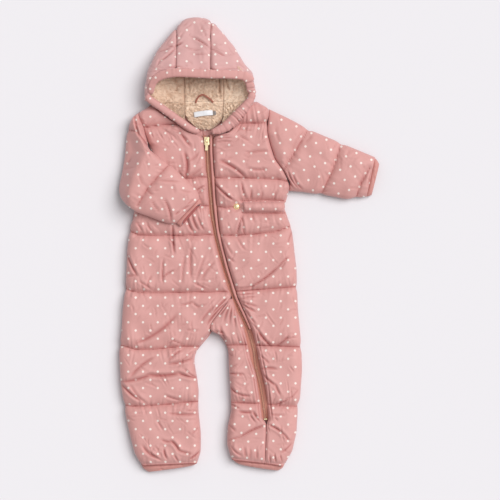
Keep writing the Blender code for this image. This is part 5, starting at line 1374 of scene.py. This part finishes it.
def lined_slope(grid, rim):
    """Height of fleece that puffs up towards the rim, x and z of which are given row by row.

    The rise is the gap under the rim's wall, and falls off inwards over a reach.
    """
    crown = LINING_BASE + LINING_WALL
    rise = np.maximum(rim[:, 1:2] - RIM_GAP - crown, 0.0)
    inward = np.sign(grid[:, -1:, 0] - grid[:, :1, 0])
    away = np.clip((grid[..., 0] - rim[:, :1]) * inward / SLOPE_REACH, 0.0, 1.0)
    return crown + rise * (1.0 - away) ** 1.6


def side_lining(name, hood_rows, flap_rows, curls, tone, seed):
    """Fleece up the inside of a side panel's wall and on down to the edge strip at the neck."""
    fine = finer([row for row in hood_rows if row[0] <= SIDE_LINING_TOP], LINING_STEP)
    inset = HOOD_WALL + SIDE_LINING_GAP
    past = LINING_SEAM - 0.2
    grids = []
    for depth in (0.0, LINING_WALL):
        section = hood_section(fine, inset + depth, LINING_BASE + depth, SIDE_LINING_START, past, 18)
        flap = finer(flap_rows, LINING_STEP)[2:]
        share = np.linspace(0.0, 1.0, section.shape[1])
        x = between(flap[:, 1:2], flap[:, 2:3], share)
        grids.append(np.concatenate([section, grid_of(x, flap[:, :1], LINING_BASE + depth)]))
    rim = np.concatenate([fine[:, 1:3], np.stack([flap[:, 1], 0.0 * flap[:, 1] + FLAP_RIM], -1)])
    grids[1][..., 2] = np.maximum(grids[1][..., 2], lined_slope(grids[1], rim))
    lining(name, *grids, curls, tone, seed)


def flat_lining(name, rows, curls, tone, seed):
    """Fleece lying flat between two borders; each row is y and the x of both."""
    fine = finer(rows, LINING_STEP)
    columns = int(np.max(fine[:, 2] - fine[:, 1]) / LINING_STEP)
    x = between(fine[:, 1:2], fine[:, 2:3], np.linspace(0.0, 1.0, columns))
    grids = [grid_of(x, fine[:, :1], LINING_BASE + depth) for depth in (0.0, LINING_WALL)]
    lining(name, *grids, curls, tone, seed)


centre_rows = [(y, float(back_seam(y, 0)) + LINING_SEAM, float(back_seam(y, 1)) - LINING_SEAM)
               for y in np.linspace(*CENTRE_LINING_Y, 9)]
# The number before each seed is the piece's painted shade: most on the wearer's right side, less on the
# centre and neck, none on the left side.
side_lining("lining_right", HOOD_RIGHT, RIGHT_FLAP_ROWS, 2600, 0.30, 101)
side_lining("lining_left", HOOD_LEFT, LEFT_FLAP_ROWS, 2600, 0.0, 105)
flat_lining("lining_centre", centre_rows, 1900, 0.22, 109)
flat_lining("lining_neck", NECK_LINING_ROWS, 1300, 0.10, 113)


# Hanging loop and labels: a folded red-brown ribbon caught in the neck seam, and under it a white
# satin label and a grey size tab, both left blank.
LOOP_PATH = [
    (-93, 247, 16.6), (-91, 254, 18.2), (-85.5, 260, 19.2), (-80, 262, 19.5), (-74, 258, 19.2),
    (-66, 252.5, 18.2), (-62.5, 248, 16.6),
]
LOOP_HALF, LOOP_SIDES = (1.5, 0.8), 12
LABEL_ROWS, LABEL_COLUMNS = 9, 25
UNEVEN_NOISE, RIB_BUMP = (260.0, 4.0), (0.4, 0.0003)


def plain_finish(name, colour, roughness, sheen=0.0, metallic=0.0, thread=0.0):
    """A plain surface, its colour made a little uneven and, for a thread size, finely ribbed."""
    finish, tree, shader = new_finish(name, Metallic=metallic, Sheen_Weight=sheen)
    place = tree.nodes.new("ShaderNodeTexCoord").outputs["Object"]
    noise = noise_node(tree, place, *UNEVEN_NOISE)
    dark = tuple(0.86 * c for c in colour) + (1.0,)
    light = tuple(min(1.0, 1.1 * c) for c in colour) + (1.0,)
    tree.links.new(mix_colour(tree, noise, dark, light), shader.inputs["Base Color"])
    rough = math_node(tree, "MULTIPLY_ADD", noise, ROUGH_SPREAD, roughness - ROUGH_SPREAD / 2)
    tree.links.new(rough, shader.inputs["Roughness"])
    if thread > 0.0:
        ribs = tree.nodes.new("ShaderNodeTexWave")
        ribs.bands_direction = "Y"
        ribs.inputs["Scale"].default_value = 1.0 / thread
        ribs.inputs["Distortion"].default_value = 1.0
        tree.links.new(place, ribs.inputs["Vector"])
        bumped(tree, shader, ribs.outputs["Fac"], *RIB_BUMP)
    return finish


RIBBON = plain_finish("loop_ribbon_cloth", (0.36, 0.115, 0.075), 0.6, thread=0.006)
SATIN = plain_finish("white_satin", (0.80, 0.80, 0.82), 0.42, sheen=0.2, thread=0.008)
GREY_SATIN = plain_finish("grey_satin", (0.26, 0.23, 0.215), 0.5, thread=0.008)

line, away, run, _ = ring_strip([(*point, *LOOP_HALF) for point in LOOP_PATH], LOOP_SIDES, 0.8, 1.0)
loop = rod("hanging_loop_ribbon", line, line[:, None] + away, RIBBON)
stands_for("hanging_loop")


def sewn_label(name, middle, size, turn, arch, finish, thick=0.5):
    """A small piece of satin with its middle arched off the fleece, turned in plan."""
    u, v = np.meshgrid(*(np.linspace(-0.5, 0.5, count) for count in (LABEL_COLUMNS, LABEL_ROWS)))
    bow = 1.0 - (2.0 * u) ** 2
    px, py = u * size[0], v * size[1] + 0.55 * arch * bow
    c, s = np.cos(np.radians(turn)), np.sin(np.radians(turn))
    x, y = middle[0] + px * c - py * s, middle[1] + px * s + py * c
    z = middle[2] + arch * bow + 0.25 * np.sin(9.0 * u + 2.0 * v)
    return walled(name, *(grid_of(x, y, z + rise) for rise in (thick, 0.0)), finish)


label = sewn_label("neck_label_satin", (-79.5, 228.2, 16.9), (33.0, 9.0), 7.0, 1.6, SATIN)
stands_for("neck_label")
tab = sewn_label("size_tab_satin", (-59.8, 229.6, 17.0), (4.6, 7.0), 5.0, 0.2, GREY_SATIN)
stands_for("size_tab")


# Zip: two woven tapes under the front edges, a fine moulded coil between them, a welt of plain cloth
# along its left side and metal parts. The slider stands at the top with its pull turned down.
COIL_LINE = [
    (172.9, -72.8), (130.9, -71.8), (106.4, -69), (78.4, -66.5), (52.2, -64), (17.2, -57.6), (-12.6, -50),
    (-44, -41), (-72.1, -31.5), (-89.6, -26), (-112.4, -17), (-132.5, -8.2), (-142.1, -3.5), (-162.2, 2.6),
    (-184.1, 8.3), (-212.1, 11.5), (-232.6, 17), (-249.7, 20.7), (-266.9, 23.5), (-301.4, 28.3),
]
WELT_LINE = [
    (191, -66.3), (165.9, -66.3), (122.2, -63.4), (73.2, -60.1), (31.2, -55.6), (15.4, -53), (-10.9, -46.4),
    (-40.6, -38.8), (-68.6, -29.8), (-87.9, -24.2), (-101.9, -18.2), (-116.9, -11), (-136, -2), (-147, 2.4),
]
TAPE_TOP, TAPE_END = 191.0, -305.0
TAPE_STEP = 2.0
TAPE_RISE, TAPE_THICK = 13.6, 0.8
PRESSED_AT, PRESSED_HALF, PRESSED_DEPTH = 3.6, 0.8, 0.9
COIL_HALF, COIL_GAP, COIL_RISE = 1.9, 0.1, 0.35
TOOTH_PITCH = 1.25
TOOTH_HALF = (1.55, 0.42, 0.75)
COIL_TOP = 171.5
WELT_RADIUS, WELT_MIDDLE, WELT_SIDES = 2.1, 16.4, 14

TAPE = plain_finish("zip_tape_weave", (0.500, 0.200, 0.150), 0.7, sheen=0.1, thread=0.004)
COIL = plain_finish("moulded_coil", (0.95, 0.53, 0.37), 0.36, metallic=0.3)
GOLD = plain_finish("pale_gold", (1.0, 0.80, 0.50), 0.36, metallic=0.9)

tape_y = np.arange(TAPE_TOP, TAPE_END - 0.1, -TAPE_STEP)
coil_x = soften(across(COIL_LINE, tape_y), 12)
tape_share = np.linspace(0.0, 1.0, 8)
for name, start, stop in (
        ("zip_tape_right", across(ZIP_RIGHT_EDGE, tape_y) - 0.6, coil_x - COIL_HALF - COIL_GAP),
        ("zip_tape_left", coil_x + COIL_HALF + COIL_GAP, across(ZIP_LEFT_EDGE, tape_y) + 0.6)):
    x, y = between(start[:, None], stop[:, None], tape_share), tape_y[:, None]
    pressed = PRESSED_DEPTH * bell(np.abs(x - coil_x[:, None]) - PRESSED_AT, PRESSED_HALF)
    top = grid_of(x, y, TAPE_RISE - pressed + TAPE_RUMPLE[0] * rumple(x, y, TAPE_RUMPLE[1], 7))
    low = top - np.array([0.0, 0.0, TAPE_THICK])
    tape = walled(name + "_weave", top, low, TAPE)
    stands_for(name)

# The coil's teeth, small six-sided bars a pitch apart that reach in turn from the two tapes.
tooth_y = np.arange(COIL_TOP, COIL_LINE[-1][0], -TOOTH_PITCH)
tooth_x = np.interp(-tooth_y, -tape_y, coil_x)
slope = np.gradient(tooth_x, tooth_y)
along = unit(np.stack([slope, np.ones_like(slope)], axis=-1))
over = np.stack([along[:, 1], -along[:, 0]], axis=-1)
turn = np.arange(6) * np.pi / 3
reach = np.where(np.arange(len(tooth_y)) % 2 == 0, -1.0, 1.0)[:, None] * 0.35
tooth_points = []
for end in (-1.0, 1.0):
    centre = np.stack([tooth_x, tooth_y], axis=-1) + over * (end * TOOTH_HALF[0] + reach)
    ring_xy = centre[:, None] + along[:, None] * (TOOTH_HALF[1] * np.cos(turn))[:, None]
    ring_z = TAPE_RISE + COIL_RISE + TOOTH_HALF[2] * np.sin(turn)
    tooth_points.append(grid_of(ring_xy[..., 0], ring_xy[..., 1], ring_z))
tooth_points = np.stack(tooth_points, axis=1).reshape(-1, 3)
k = np.arange(6)
sides = np.stack([k, (k + 1) % 6, (k + 1) % 6 + 6, k + 6], axis=-1)
caps = [[0, 1, 2, 3], [0, 3, 4, 5], [6, 9, 8, 7], [6, 11, 10, 9]]
tooth_faces = copies(np.concatenate([sides, caps]), len(tooth_y), 12)
coil = sewn("zip_coil_teeth", tooth_points, tooth_faces, COIL)
stands_for("zip_coil")

welt_y = np.linspace(WELT_LINE[0][0], WELT_LINE[-1][0], 40)
welt_rows = [(float(across(WELT_LINE, y)), float(y), WELT_MIDDLE, WELT_RADIUS, WELT_RADIUS) for y in welt_y]
line, away, run, angle = ring_strip(welt_rows, WELT_SIDES, 0.9, 1.6)
folds = 0.10 * ripple(run[:, None] * 1.7, 121) + 0.0 * angle
rings = line[:, None] + away * (1.0 + folds)[..., None]
# Painted shade in the valleys of the welt's folds.
welt = rod("zip_welt_cloth", line, rings, PLAIN_SHELL, np.zeros((rings[..., 0].size + 2, 2)),
           np.clip(-2.5 * folds, 0.0, 0.7))
wadded("zip_welt")

for name in ("zip_slider", "zip_pull", "zip_stop", "snap_cap"):
    for place in bpy.data.objects[name].material_slots:
        place.material = GOLD


# Quilting thread: short stitches in a deeper pink, laid on the cloth along every seam of the front.
STITCH_LENGTH, STITCH_PITCH, STITCH_HALF, STITCH_THICK = 2.3, 3.5, 0.28, 0.3
THREAD_PINK = plain_finish("quilting_thread", (0.42, 0.15, 0.14), 0.7)
stitched_grids = np.concatenate([grid.reshape(-1, 3) for grid in (front_right, front_left, front_inner)])
stitch_points = []
for line in RIGHT_FRONT_SEAMS + LEFT_FRONT_SEAMS + INNER_FRONT_SEAMS:
    knots = np.array(line)
    run = run_over(knots, 0)
    at = np.arange(STITCH_PITCH, run[-1] - STITCH_PITCH, STITCH_PITCH)
    ends = [np.stack([np.interp(at + d, run, knots[:, k]) for k in (0, 1)], axis=-1)
            for d in (-STITCH_LENGTH / 2, STITCH_LENGTH / 2)]
    middle = (ends[0] + ends[1]) / 2
    close = stitched_grids[np.abs(stitched_grids[:, 1] - middle[:, 1].mean()) < 40.0]
    nearest = np.argmin(np.linalg.norm(close[None, :, :2] - middle[:, None], axis=-1), axis=1)
    height = close[nearest, 2] + 0.1
    direction = (ends[1] - ends[0]) / STITCH_LENGTH
    square = np.stack([-direction[:, 1], direction[:, 0]], axis=-1) * STITCH_HALF
    corners = [ends[0] - square, ends[0] + square, ends[1] + square, ends[1] - square]
    box = [np.concatenate([c, (height + rise)[:, None]], axis=-1)
           for rise in (-0.5, STITCH_THICK) for c in corners]
    stitch_points.append(np.stack(box, axis=1).reshape(-1, 3))
stitch_points = np.concatenate(stitch_points)
box_faces = [[3, 2, 1, 0], [4, 5, 6, 7], [0, 1, 5, 4], [1, 2, 6, 5], [2, 3, 7, 6], [3, 0, 4, 7]]
sewn("quilting_stitches", stitch_points, copies(box_faces, len(stitch_points) // 8, 8), THREAD_PINK)
